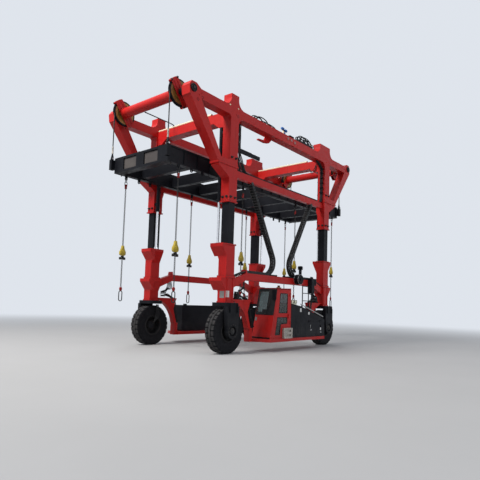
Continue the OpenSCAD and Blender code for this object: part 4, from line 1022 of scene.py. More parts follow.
def beam_valves():
    """Valve banks on the top beam: a base with a row of spools, each with its
    cap, and solenoid ends."""
    z = BEAM_TOP
    y0, y1 = -LEG_Y - 0.088, -LEG_Y + 0.088
    parts = [block((0.82, y0, z), (1.9, y1, z + 0.045), 0.005),
             block((-1.94, y0 + 0.02, z), (-0.62, y1 - 0.02, z + 0.03), 0.004)]
    for x in np.linspace(0.92, 1.8, 8):
        parts.append(block((x - 0.035, y0 + 0.02, z + 0.045), (x + 0.035, y1 - 0.02, z + 0.128), 0.006))
    spool = lathe([(0, 0), (0.022, 0), (0.022, 0.02), (0.016, 0.024), (0.016, 0.05), (0, 0.052)], n=12)
    parts.append(copies(spool, [(x, -LEG_Y, z + 0.126) for x in np.linspace(0.92, 1.8, 8)]))
    for x in (-1.8, -1.25, -0.72):
        parts.append(block((x - 0.06, -LEG_Y - 0.05, z + 0.03), (x + 0.06, -LEG_Y + 0.05, z + 0.1), 0.006))
    return join(*parts)


def beam_unions():
    """Zinc-yellow unions where the hoses meet the valves."""
    z = BEAM_TOP
    places = [(x, y, z + dz) for x, y, dz in ((-1.86, -1.66, 0), (-1.2, -1.66, 0), (-1.72, -1.78, 0),
                                              (-1.1, -1.78, 0), (-1.42, -1.7, 0), (-0.72, -1.7, 0),
              (0.84, -1.68, 0.06), (0.9, -1.74, 0.06), (1.02, -1.8, 0.06), (1.46, -1.68, 0.1),
              (1.62, -1.74, 0.1), (1.74, -1.8, 0.1), (1.88, -1.76, 0.06))]
    return copies(ferrule((0, 0, 0), UP, 0.018), places)


def red_manifold():
    """Painted manifold block between the blue valve and the hose arches."""
    z = BEAM_TOP
    parts = [block((0.25, -1.825, z), (0.52, -1.645, z + 0.085), 0.008),
             block((0.29, -1.79, z + 0.085), (0.4, -1.68, z + 0.112), 0.006)]
    parts.append(copies(bolt(0.01), [(0.28, -1.8, z + 0.085), (0.49, -1.8, z + 0.085),
                                     (0.49, -1.67, z + 0.085), (0.28, -1.67, z + 0.085)]))
    return join(*parts)


def blue_valve():
    """Blue relief valve: a body with two side bosses and a domed cap, under
    a second, larger body that lies across on its stem."""
    x, y, z = -0.03, -LEG_Y, BEAM_TOP
    body = lathe([(0, 0.07), (0.04, 0.07), (0.046, 0.085), (0.046, 0.15), (0.034, 0.165), (0.034, 0.185),
                  (0.044, 0.19), (0.044, 0.21), (0.02, 0.222), (0, 0.222)], (x, y, z), UP, 20)
    side = lathe([(0, -0.085), (0.022, -0.085), (0.026, -0.075), (0.026, 0.075), (0.022, 0.085),
                  (0, 0.085)], (x, y, z + 0.125), ALONG, 14)
    lobe = [(0, 0), (0.04, 0), (0.05, 0.012), (0.05, 0.1), (0.038, 0.125), (0, 0.13)]
    lobes = [lathe(lobe, (x - 0.02, y, z + 0.262), (-1, 0, 0), 16),
             lathe(lobe, (x + 0.06, y, z + 0.235), ALONG, 16)]
    return join(body, side, rod(0.024, 0.2, 0.25, (x, y, z)), *lobes)


def valve_foot():
    """Cream base of the blue valve, with a round plug on it."""
    foot = block((-0.14, -1.795, BEAM_TOP), (0.08, -1.675, BEAM_TOP + 0.07), 0.006)
    cap = lathe([(0, 0.07), (0.034, 0.07), (0.034, 0.15), (0.026, 0.162), (0, 0.162)],
                (-0.115, -LEG_Y - 0.03, BEAM_TOP), UP, 14)
    return join(foot, cap)


def beam_plates():
    """Small terminal plates, each with two screws, on the near top beam's side."""
    parts = []
    for x, z in PLATE_SPOTS:
        parts.append(plate(rounded(x - 0.055, x + 0.055, z - 0.045, z + 0.045, 0.012), 1, -LEG_FACE - 0.018,
                           0.002 - LEG_FACE, 0.003))
        parts.append(copies(bolt(0.011), [(x - 0.03, -LEG_FACE - 0.018, z),
                                          (x + 0.03, -LEG_FACE - 0.018, z)], facing(OUT)))
    return join(*parts)


def painted_hole_shadows():
    """Painted shade for the drain and lifting holes in the frame's side plate: a black disc over each hole,
    with a turned-in rim, stands for its dark inside.
    """
    rim = [(0, -0.001), (0.03, -0.001), (0.034, 0.002), (0.038, 0.005), (0.042, 0.003), (0.043, -0.001)]
    return join(*[lathe(rim, (x, -LEG_FACE, z), OUT, 18) for x, z in HOLE_SPOTS])


def grease_caps():
    """Bright caps over the frame's two grease points."""
    cap = [(0, 0), (0.026, 0), (0.026, 0.01), (0.018, 0.02), (0, 0.022)]
    return join(*[lathe(cap, (x, -LEG_FACE, z), OUT, 16) for x, z in CAP_SPOTS])


def tie_hoses():
    """Hoses that leave the energy chain's fixed end: over the tie beam's bend
    to the leg, and on along the beam the other way, held down by clips."""
    out = []
    for k in range(5):
        y, r = -LEG_Y - 0.066 + 0.033 * k, (0.021, 0.017, 0.02, 0.016, 0.019)[k]
        out.append(tube([(-2.765, y, 2.3 + r), (-2.6, y, 2.358 + r), (-2.36, y, 2.443 + r),
                         (-2.14, y, 2.512 + r), (-2.03, y, 2.52 + r), (-1.92, y, 2.512 + r)], r, ACROSS, 8,
                         4))
        out.append(tube([(-1.3, y, 2.515 + r), (-1.0, y, 2.507 + r), (-0.62, y, 2.509 + r),
                         (-0.34, y, 2.506 + r)], r, ACROSS, 8, 3))
    clip = block((-0.018, -0.095, 0), (0.018, 0.095, 0.055), 0.004)
    out.append(copies(clip, [(-1.12, -LEG_Y, 2.5), (-0.74, -LEG_Y, 2.5), (-0.38, -LEG_Y, 2.5)]))
    return pair(join(*out), 0)


def hose_arm():
    """Channel arm on the near left leg with the clamped hoses on it."""
    y, z0, z1 = -1.605, KNEE_Z + 0.68, KNEE_Z + 0.77
    arm = sweep([(-2.78, y, z0 + 0.045), (-1.29, y, z0 + 0.045)],
                [(-0.034, -0.058), (0.034, -0.058), (0.034, -0.048), (-0.031, -0.048), (-0.031, 0.048),
                 (0.034, 0.048), (0.034, 0.058), (-0.034, 0.058)], UP)
    clamps = copies(block((-0.02, -0.025, 0), (0.02, 0.035, 0.03), 0.004),
                    [(x, y, z1 - 0.002) for x in (-2.6, -2.25, -1.9, -1.55)])
    return join(arm, clamps)


def arm_hoses():
    """Hoses at the near left leg: down its inner side and along the arm, down
    beside it to the rail, and from the arm's root to the rail in a sag."""
    out = []
    for k in range(4):
        y = -1.625 + 0.016 * k
        x = -2.745 + 0.012 * k
        out.append(tube([(x, y, 7.3), (x, y, 7.0), (x + 0.02, y, 6.75), (x + 0.03, y, 6.56 + 0.006 * k),
                         (x + 0.14, y, 6.545), (-2.2, y, 6.54), (-1.75, y, 6.54)], 0.013))
    for k in range(5):
        x, y = -2.5 + 0.038 * k, -1.6 - 0.022 * (k % 3)
        sway = 0.02 * math.sin(2.4 * k)
        out.append(tube([(x, y, 7.34), (x + sway, y, 7.12), (x - sway, y, 6.9), (x + sway, y, 6.68),
                         (x + 0.01, y, 6.52), (x + 0.03 + sway, y, 6.36),
                         (x + 0.08, y - 0.02, 6.1 + 0.03 * k),
                         (x + 0.22, y - 0.05, 5.86), (x + 0.46, y - 0.08, 5.73), (x + 0.8, y - 0.1, 5.7)],
                         0.0165))
    for k, (r, sag) in enumerate(((0.026, 0.1), (0.02, 0.16), (0.02, 0.05))):
        y = -1.62 + 0.022 * k
        out.append(tube([(-2.66, y, 6.53), (-2.62 + sag, y, 6.3), (-2.5 + sag, y, 6.0),
                         (-2.36 + sag * 0.6, y, 5.8), (-2.14, y - 0.03, 5.735), (-1.98, y - 0.07, 5.705)], r))
    return join(*out)


def hose_clamps():
    """Clamp blocks that hold the hoses to the legs' inner faces."""
    left = [block((-2.782, -1.655, z), (-2.7, -1.555, z + 0.06), 0.006) for z in (7.15, 6.95, 6.74)]
    right = [block((2.69, -1.83, z), (2.781, -1.7, z + 0.05), 0.006) for z in (7.08, 6.9, 6.7, 6.5, 6.3, 6.1)]
    return join(*left, *right)


def right_leg_hoses():
    """Bundle that leaves the top beam's corner and comes down the near right
    leg's inner face to the rail."""
    out = []
    for k in range(5):
        y = -1.8 + 0.024 * k
        d = 0.012 * math.cos(1.7 * k)
        out.append(tube([(2.2 + 0.05 * k, y, 7.335), (2.45, y, 7.3 + d), (2.63, y, 7.2 + d),
                         (2.725 + d, y, 7.05), (2.74, y, 6.8), (2.725 + d, y, 6.5), (2.74, y, 6.2),
                         (2.72 + d, y, 5.9), (2.66, y, 5.74), (2.5, y, 5.71)], 0.0125))
    return join(*out)


def rail_hoses():
    """Hoses and a flat cable in the trays of both side rails."""
    out = []
    x = np.linspace(-2.74, 2.74, 40)
    for sy in (-1, 1):
        for k in range(4):
            y = sy * LEG_Y - 0.03 + 0.02 * k
            path = columns(x, y + 0.003 * np.sin(2.3 * x + k),
                           5.662 + 0.01 * np.abs(np.sin(1.9 * x + 1.3 * k)))
            out.append(sweep(path, ring(0.01, 6), UP))
    return join(*out)


def tray_clips():
    """Clips over the trays."""
    clip = block((-0.012, -0.06, 5.698), (0.012, 0.06, 5.706), 0.002)
    return copies(clip, [(x, sy * LEG_Y, 0) for x in np.arange(-2.6, 2.61, 0.4) for sy in (-1, 1)])


def cylinder_lines():
    """Steel line along each lift cylinder, with its clamps."""
    x, y = -LEG_X - 0.12 + 0.072, -LEG_Y + 0.285 + 0.02
    line = tube([(x, y, 4.74), (x + 0.01, y, 5.3), (x, y, 6.2), (x, y, 6.9)], 0.008)
    clamps = [block((x - 0.018, y - 0.03, z), (x + 0.016, y + 0.014, z + 0.03), 0.003)
              for z in (4.95, 5.5, 6.1, 6.65)]
    return all_ends(join(line, *clamps))


def foot_hoses():
    """Steering and drive hoses behind both near legs: from the tie beam's neck
    they loop down to the swivel on the hanger, and from it to the fork."""
    out = []
    for k in range(5):
        d = 0.028 * k
        y = -1.8 + 0.026 * k
        out.append(tube([(-2.2 + d, y, 2.26), (-2.16 + d, y, 2.12 - d), (-2.26, y + 0.02, 1.95),
                         (-2.42 + d, y, 1.88), (-2.46 + d, y, 1.8)], 0.014))
    for k in range(4):
        y = -1.83 + 0.05 * k
        out.append(tube([(-2.42, y, 1.72), (-2.27, y, 1.735 + 0.02 * k), (-2.06, y, 1.7),
                         (-1.93, y + 0.02, 1.62), (-1.86, y + 0.03, 1.45), (-1.8, y + 0.02, 1.2),
                         (-1.74, y, 0.95), (-1.62, y, 0.78)], 0.015))
    return near_ends(join(*out))


def swivel_rings():
    """On each hanger: the swivel's ring of ports, and the rings round it."""
    x, y, z = -2.44, -LEG_Y, 1.835
    ports = copies(ferrule((0, 0, 0), UP, 0.014), [(x + 0.058 * math.cos(a), y + 0.058 * math.sin(a), z)
                                                   for a in np.arange(6) * TAU / 6])
    rings = join(*[lathe([(0.08, h), (0.094, h), (0.094, h + 0.014), (0.08, h + 0.014)], (x, y, 1.66), UP,
                         28, True) for h in (0.035, 0.075, 0.115, 0.15)])
    return all_ends(join(ports, rings))


# ---------------------------------------------------------------- cross beams
def service_pipes():
    """Cream pipe on each cross beam, with its end caps and saddles."""
    r, x, z = 0.037, -LEG_X - 0.11, 7.566
    pipe = lathe([(0, -1.0), (r * 0.8, -1.0), (r, -0.985), (r, 1.555), (r * 0.8, 1.57), (0, 1.57)],
                 (x, 0, z), ACROSS, 20)
    one = join(pipe, *[lathe([(r, -0.012), (r + 0.006, -0.012), (r + 0.006, 0.012), (r, 0.012)], (x, y, z),
                             ACROSS, 20, True) for y in (-0.7, -0.1, 0.5, 1.1)])
    return join(one, (one[0] + [2 * LEG_X, 0, 0], *one[1:]))


def cross_hoses():
    """Loose hoses across the cross beams and down at their near ends."""
    out = []
    for sx in (-1, 1):
        for k in range(4):
            x = sx * LEG_X + 0.01 + 0.028 * k
            d = 0.02 * math.sin(2.2 * k)
            out.append(tube([(x, 1.4, 7.545), (x + d, 0.9, 7.56), (x - d, 0.3, 7.55),
                             (x + d, -0.2, 7.59 + abs(d)), (x, -0.6, 7.55), (x + d, -1.1, 7.56),
                             (x, -1.42, 7.58), (x + 0.02, -1.54, 7.6)], 0.011, ASIDE))
        for k in range(3):
            x = sx * LEG_X - sx * 0.19
            out.append(tube([(x, -1.52 + 0.02 * k, 7.5), (x - 0.02, -1.42 - 0.02 * k, 7.22 - 0.04 * k),
                             (x, -1.28, 7.08 - 0.05 * k), (x + 0.02, -1.18, 7.16), (x + 0.04, -1.12, 7.26)],
                             0.01, ASIDE))
    return join(*out)


def sensor_cable():
    """Straight cable conduit from the end shaft to the left cross beam."""
    return tube([(-4.68, 0.4, 7.45), (-4.55, 0.43, 7.468), (-3.9, 0.59, 7.545), (-3.25, 0.75, 7.62),
                 (-3.08, 0.79, 7.6), (-3.04, 0.8, 7.53)], 0.018)


# ---------------------------------------------------------------- spreader
def spreader_lips():
    """On the spreader: lips along the sides' top and bottom edges."""
    x, y, z0, z1 = SPREADER
    lip = [(-0.02, -0.012), (0.012, -0.012), (0.012, 0.004), (-0.02, 0.004)]
    return pair(join(*[sweep([(-x + 0.05, -y + 0.02, z), (x - 0.05, -y + 0.02, z)], lip, UP)
                       for z in (z0 + 0.014, z1 - 0.004)]), 1)


def end_panels():
    """Grey panels in the spreader's two ends."""
    x, _, z0, z1 = SPREADER
    panel = [plate(rounded(a, b, z0 + 0.08, z1 - 0.08, 0.01), 0, -x + 0.03, -x + 0.042, 0.003) for a,
             b in ((0.19, 0.79), (-0.79, -0.19))]
    return pair(join(*panel), 0)


def tooth_rack():
    """Toothed guide down the middle of the end: a saw outline, carried across."""
    x, _, z0, z1 = SPREADER
    n = 9
    z = np.linspace(z0 + 0.01, z1 + 0.03, 2 * n + 1)
    front = np.where(np.arange(2 * n + 1) % 2 == 0, 0.0, 0.02)
    outline = np.vstack([columns(-x + 0.03 - front, z), [[-x + 0.045, z[-1]], [-x + 0.045, z[0]]]])
    return pair(plate(outline, 1, 0.075, 0.125, 0.003), 0)


def corner_gear():
    """At each corner: the socket's pin with its keeper, and a small guide roller."""
    x, y, z = -ROPE_X, -SHEAVE[1], SPREADER[3]
    pin = rod(0.024, -0.075, 0.06, (x, y, z - 0.02), ACROSS, 14)
    keeper = block((x - 0.035, y - 0.062, z - 0.03), (x + 0.035, y - 0.054, z - 0.005), 0.002)
    roller = lathe([(0, -0.02), (0.036, -0.02), (0.04, -0.012), (0.04, 0.012), (0.036, 0.02), (0, 0.02)],
                   (x - 0.006, y - 0.036, z - 0.2), ACROSS, 18)
    return all_ends(join(pin, keeper, roller))


def lock_pins():
    """Studs and nuts under the lower lugs."""
    stud = lathe([(0, 0), (0.012, 0), (0.012, -0.035), (0.02, -0.04), (0.02, -0.055), (0, -0.06)], n=10)
    return copies(stud, [(sx * x, sy * 1.15, SPREADER[2]) for x in (4.9, 3.3, 2.4, 0.9) for sx in (-1, 1)
                         for sy in (-1, 1)])


# ---------------------------------------------------------------- cab
CAB_X0, CAB_X1, CAB_H, CAB_LEAN, CAB_D = -1.432, -0.232, 1.65, 0.37, 0.75


def cab_front(z):
    """X of the cab's slanting front at a height."""
    return CAB_X0 + (z - SILL_TOP) * CAB_LEAN / CAB_H


def frame_ring(outer, inner, place, depth):
    """Flat frame between two outlines of as many points, raised by its depth:
    four rings of points joined round. place turns (a, b, depth) into X, Y, Z."""
    rings = [(outer, 0), (inset(outer, 0.003), depth), (inset(inner, -0.003), depth), (inner, 0)]
    return grid(np.array([place(np.asarray(o)[:, 0], np.asarray(o)[:, 1], d) for o, d in rings]), True, True)


def windscreen_frame():
    """Black frame round the windscreen, over the whole upper front of the cab."""
    def on_front(y, z, d):
        return columns(cab_front(z) - 0.001 - d, y, z)
    y0, y1 = -SIDE_Y + 0.006, -SIDE_Y + CAB_D - 0.006
    outer = rounded(y0, y1, 1.175, 2.048, 0.03)
    inner = rounded(y0 + 0.056, y1 - 0.056, 1.252, 1.958, 0.03)
    return frame_ring(outer, inner, on_front, 0.006)


def windscreen_blinds():
    """Black cover over the windscreen's door side and along its foot, one
    stepped outline laid on the slanting front."""
    edge = np.array([(-2.305, 1.19), (-1.66, 1.19), (-1.66, 1.27), (-1.87, 1.27), (-1.87, 1.36),
                     (-2.03, 1.36), (-2.03, 2.03), (-2.305, 2.03)])
    layers = [(edge, 0.0015), (edge, 0.006), (inset(edge, 0.004), 0.009)]
    return grid(np.array([columns(cab_front(o[:, 1]) - d, o[:, 0], o[:, 1]) for o, d in layers]), False,
                True, True)


def cab_lining():
    """Cream lining inside the cab's rear and far walls, below the windows."""
    y = -SIDE_Y + CAB_D - 0.031
    rear = plate(rounded(y - 0.66, y - 0.02, 0.5, 1.56, 0.03), 0, CAB_X1 - 0.048, CAB_X1 - 0.04, 0.002)
    head = plate(rounded(-0.95, -0.34, 1.945, 2.015, 0.02), 1, y - 0.01, y - 0.002, 0.002)
    side = plate([(-1.26, 0.48), (-0.33, 0.48), (-0.33, 1.18), (-1.1, 1.18)], 1, y - 0.01, y - 0.002, 0.002)
    return join(rear, head, side)


def door_seals():
    """Rubber seals round the door's two panes: a half-round bead carried round
    each outline, a little inside its edge."""
    upper = [(-0.976, 1.25), (-0.895, 1.905), (-0.457, 1.905), (-0.457, 1.25)]
    lower = [(-1.161, 0.53), (-1.046, 1.11), (-0.457, 1.11), (-0.457, 0.9), (-0.834, 0.88), (-0.884, 0.53)]
    out = []
    for o in (upper, lower):
        o = inset(o, 0.008)
        n = 10
        t = np.linspace(0, 1, n, endpoint=False)[None, :, None]
        a, b = o[:, None], np.roll(o, -1, 0)[:, None]
        dense = (a + (b - a) * t).reshape(-1, 2)
        path = columns(dense[:, 0], -SIDE_Y - 0.001, dense[:, 1])
        out.append(sweep(path, ring(0.013, 8, 0.5), ACROSS, True))
    return join(*out)


def wiper():
    """Wiper arm and blade on the windscreen."""
    def at(y, z, d=0.014):
        return (cab_front(z) - d, y, z)
    arm = tube([at(-2.02, 1.21, 0.03), at(-2.03, 1.3, 0.03), at(-2.1, 1.5, 0.024), at(-2.13, 1.62, 0.02)],
               0.007, ALONG)
    blade = sweep([at(-2.1, 1.34), at(-2.13, 1.6), at(-2.15, 1.86)],
                  [(-0.006, -0.01), (0.006, -0.01), (0.004, 0.008), (-0.004, 0.008)], ALONG)
    post = lathe([(0, 0), (0.022, 0), (0.022, 0.03), (0.012, 0.04), (0, 0.04)], at(-2.02, 1.21, 0.0),
                 (-1, 0, 0.2), 12)
    return join(arm, blade, post)


def cab_trim():
    """Dark trim: rain gutter over the door, a rubbing strip along the foot of
    the cab's front, and the roof's front edge."""
    y = -SIDE_Y
    foot = sweep([(cab_front(0.43) - 0.004, y + 0.02, 0.437),
                  (cab_front(0.43) - 0.004, y + CAB_D - 0.02, 0.437)],
                  [(-0.012, -0.022), (0.012, -0.022), (0.012, 0.022), (-0.012, 0.022)], UP)
    gutter = sweep([(-1.045, y - 0.004, 2.035), (-0.27, y - 0.004, 2.063)],
                   [(-0.006, -0.008), (0.006, -0.008), (0.006, 0.008), (-0.006, 0.008)], UP)
    roof = block((cab_front(2.06) + 0.03, y + 0.03, 2.0605),
                 (cab_front(2.06) + 0.09, y + CAB_D - 0.03, 2.078), 0.004)
    return join(foot, gutter, roof)


def beacon_lens():
    """Amber beacon on the cab roof's handle."""
    return lathe([(0, 0.0), (0.046, 0.0), (0.046, 0.006), (0.042, 0.05), (0.034, 0.062), (0, 0.066)],
                 (-0.68, -2.125, 2.11))


def seat_form(y0, y1, line, thick, crown):
    """Crowned cushion along a side line: over the width u and round the
    section v, the half thickness falls off as the fourth power towards the
    edges, and a sewn channel presses it in at a quarter and three quarters."""
    u, v = np.meshgrid(np.linspace(-1, 1, 25), np.arange(28) * TAU / 28, indexing="ij")
    line = np.asarray(line, float)
    a, b = line[0], line[1]
    along = unit(b - a)
    across = np.array([-along[1], along[0]])
    s, c = np.sin(v), np.cos(v)
    edge = (1 - u ** 4 * 0.35) ** 0.5
    length = np.linalg.norm(b - a) / 2 * np.sign(c) * np.abs(c) ** 0.55 * (0.97 + 0.03 * edge)
    fold = 0.16 * np.exp(-((np.abs(u) - 0.52) / 0.05) ** 2)
    swell = (0.55 + 0.45 * edge) * (1 + crown * (1 - u ** 2)) * (1 - fold)
    height = thick / 2 * np.sign(s) * np.abs(s) ** 0.6 * swell
    mid = (a + b) / 2
    x = mid[0] + along[0] * length + across[0] * height
    z = mid[1] + along[1] * length + across[1] * height
    y = (y0 + y1) / 2 + u * (y1 - y0) / 2
    return grid(columns(x, y, z), False, True, True)


def cab_fittings():
    """Driver's station: pedestal, slanting console with its switch panel, and
    a lever box beside the seat."""
    y0, y1, floor = -2.18, -1.76, SILL_TOP + 0.03
    x = CAB_X0
    column = plate([(x + 0.16, floor), (x + 0.27, floor + 0.58), (x + 0.4, floor + 0.5), (x + 0.32, floor)],
                   1, y0 + 0.08, y1 - 0.08, 0.01)
    panel = plate([(x + 0.25, floor + 0.57), (x + 0.27, floor + 0.6), (x + 0.49, floor + 0.54),
                   (x + 0.47, floor + 0.51)], 1, y0, y1, 0.006)
    pedestal = block((-0.82, y0 + 0.04, floor), (-0.49, y1 - 0.04, floor + 0.285), 0.01, 0.04)
    levers = block((-0.8, y1 - 0.01, floor + 0.3), (-0.5, y1 + 0.05, floor + 0.47), 0.01, 0.02)
    return join(column, panel, pedestal, levers)


WHEEL_LEAN = math.radians(35)


def steering_wheel():
    """Steering wheel on its column, leaning towards the seat."""
    base = np.array([CAB_X0 + 0.44, -1.97, SILL_TOP + 0.575])
    axis = unit([-math.sin(WHEEL_LEAN), 0, math.cos(WHEEL_LEAN)])
    centre = base + axis * 0.11
    column = lathe([(0, 0), (0.02, 0), (0.02, 0.1), (0.035, 0.11), (0.03, 0.125), (0, 0.13)], base, axis, 14)
    t = np.arange(40) * TAU / 40
    u, v, w = axes_of(axis)
    path = centre + 0.15 * (u * np.cos(t)[:, None] + v * np.sin(t)[:, None])
    rim = sweep(path, ring(0.013, 8), w, True)
    spokes = [tube([centre + w * 0.005, centre + 0.07 * d, centre + 0.145 * d], 0.008, w, 6, 2)
              for d in (u, -0.5 * u + 0.866 * v, -0.5 * u - 0.866 * v)]
    return join(column, rim, *spokes)


# ---------------------------------------------------------------- engine side
def housing_plates():
    """Blank plates on the housing, the legs' feet and the cab's front."""
    y = -SIDE_Y
    plates = [plate(rounded(a, a + w, b, b + h, 0.006), 1, y - 0.003, y - 0.0005, 0.001) for a, b, w, h in
              ((0.345, 1.3, 0.1, 0.125), (0.9, 1.205, 0.1, 0.09), (1.07, 0.735, 0.07, 0.1),
               (1.775, 0.635, 0.07, 0.1))]
    leg = plate(rounded(-3.145, -2.985, 1.7, 1.895, 0.006), 1, -LEG_FACE - 0.003, -LEG_FACE - 0.0005, 0.001)
    return join(*plates, leg)


def grey_plates():
    """Grey blank plates on the leg's end and on the cab's red front."""
    leg = plate(rounded(-1.855, -1.665, 1.675, 1.885, 0.006), 0, -LEG_END - 0.003, -LEG_END - 0.0005, 0.001)
    front = plate(rounded(-1.7, -1.62, 0.98, 1.1, 0.006), 0, 0, 0.003, 0.001)
    front[0][:, 0] = cab_front(front[0][:, 2]) - 0.0005 - front[0][:, 0]
    return join(leg, front)


def raised_frame(x, z, wide, high, edge, corners, y, depth):
    """Flat frame of an edge's width on the cab side, from its lower left corner."""
    outer = rounded(x, x + wide, z, z + high, corners[0])
    inner = rounded(x + edge, x + wide - edge, z + edge, z + high - edge, corners[1])
    return frame_ring(outer, inner, lambda a, b, d: columns(a, y - d, b), depth)


def panel_latches():
    """Recessed latches of the side door and the fixed panels."""
    out = []
    for x, z in ((1.12, 0.66), (1.82, 0.56)):
        out.append(raised_frame(x - 0.045, z - 0.03, 0.09, 0.06, 0.01, (0.008, 0.006), -SIDE_Y - 0.0005,
                                0.006))
        out.append(block((x - 0.03, -SIDE_Y - 0.01, z - 0.008), (x + 0.03, -SIDE_Y - 0.001, z + 0.008),
                         0.002))
    return join(*out)


def lamp_bezels():
    """Black frames round the two work lamps' lenses."""
    return join(*[raised_frame(x, 1.592, 0.15, 0.107, 0.012, (0.012, 0.01), -SIDE_Y + 0.0195, 0.01)
                  for x in (-0.19, 0.0)])


CLEANER_AT = (0.87, -1.835, TIE_TOP - 0.03)


def air_drum():
    """Air cleaner: a ribbed drum across the beam with a dished cover, and its
    intake pipe with a louvred rain cap."""
    ribs = []
    for k in range(6):
        h = 0.03 + 0.024 * k
        ribs += [(0.178, h), (0.1845, h + 0.004), (0.1845, h + 0.01), (0.178, h + 0.014)]
    drum = lathe([(0, 0), (0.166, 0), (0.178, 0.012)] + ribs + [(0.178, 0.19), (0.165, 0.212), (0.1, 0.216),
            (0.092, 0.206), (0.05, 0.206), (0.044, 0.226), (0, 0.229)], CLEANER_AT, OUT, 48)
    x, y, z = 0.95, -1.95, TIE_TOP + 0.1
    cap = [(0, 0.0), (0.055, 0.0), (0.055, 0.225), (0.062, 0.232)]
    for k in range(4):
        h = 0.236 + 0.026 * k
        cap += [(0.098, h + 0.004), (0.098, h + 0.014), (0.074, h + 0.02)]
    cap += [(0.09, 0.345), (0.08, 0.362), (0.03, 0.37), (0, 0.37)]
    return join(drum, lathe(cap, (x, y, z), UP, 36))


def air_bands():
    """Bright clamp bands round the air cleaner."""
    return join(*[lathe([(0.178, h), (0.1849, h), (0.1849, h + 0.016), (0.178, h + 0.016)], CLEANER_AT, OUT,
                        48, True)
                  for h in (0.008, 0.176)])


def hydraulic_lines():
    """Lines from the tall hydraulic unit to the tie beam and the housing."""
    out = []
    for k in range(4):
        x = 1.73 + 0.04 * k
        out.append(tube([(x, -1.96, 2.56), (x + 0.01, -1.95, 2.6), (x + 0.05, -1.9, 2.62),
                         (x + 0.16, -1.84, 2.58), (x + 0.22, -1.8, 2.52)], 0.013))
        out.append(tube([(x, -1.98, 1.985), (x - 0.02, -1.98, 1.8), (x - 0.05, -1.97 + 0.01 * k, 1.5),
                         (x - 0.06, -1.96, 1.2)], 0.013))
    return join(*out)


def slope_rail():
    """Light grey grip round the handrail down the housing's slope."""
    return tube([(0.44, -2.315, 1.569), (1.24, -2.315, 1.349), (2.04, -2.315, 1.129)], 0.0185, ACROSS, 12, 4)


def unit_fins():
    """Cooling fins of the tall hydraulic unit."""
    return join(*[block((1.7, -2.0195, z), (1.88, -2.0145, z + 0.012), 0.001)
                  for z in np.arange(2.02, 2.5, 0.04)])


def step_treads():
    """Raised tread points on the step box's top."""
    stud = lathe([(0, 0), (0.009, 0), (0.006, 0.004), (0, 0.004)], n=6)
    x, y = np.meshgrid(np.arange(-0.72, -0.24, 0.04), np.array([-2.41, -2.38]))
    return copies(stud, columns(x.ravel(), y.ravel(), 0.7549))


def tank_straps():
    """Straps round the far tank."""
    out = []
    for x in (-0.9, 0.3, 1.5):
        o = rounded(1.868, 2.4245, 0.414, 1.397, 0.01)
        i = inset(o, 0.003)
        out.append(grid(np.array([columns(x + s, r[:, 0], r[:, 1]) for r,
                                  s in ((o, -0.03), (o, 0.03), (i, 0.03), (i, -0.03))]), True, True))
    return join(*out)


# ---------------------------------------------------------------- the scene
NODE_FINISHES = {
    "red": "near_lower_legs near_chassis_frame cab_shell cab_door near_side_frame far_side_frame leg_sleeves "
           "cross_beams side_rails end_shafts far_lower_legs far_chassis_frame",
    "black": "near_masts far_masts engine_housing engine_door hydraulic_units lift_barrels spreader_frame "
             "spreader_lugs far_tank handrails air_cleaner",
    "chrome": "near_lift_rods far_lift_rods", "glass": "cab_windows", "door_glass": "cab_door_glass",
    "iron": "engine_block", "lamp": "work_lamps", "zinc": "step_box", "plastic": "cab_interior",
    "valves": "valve_gear", "rope": "hoist_ropes chain_slings", "nylon": "energy_chains"}
CORNER_FINISHES = {"fork_": "fork", "rim_": "rim", "sheave_": "amber", "tyre_": "rubber"}


def paint_nodes(nodes, m):
    """Gives each CAD node its finish."""
    table = {name: m[key] for key, names in NODE_FINISHES.items() for name in names.split()}
    table.update({kind + end: m[key] for kind, key in CORNER_FINISHES.items() for end, _, _ in ENDS})
    for name, node in nodes.items():
        node.data.materials.clear()
        node.data.materials.append(table[name])


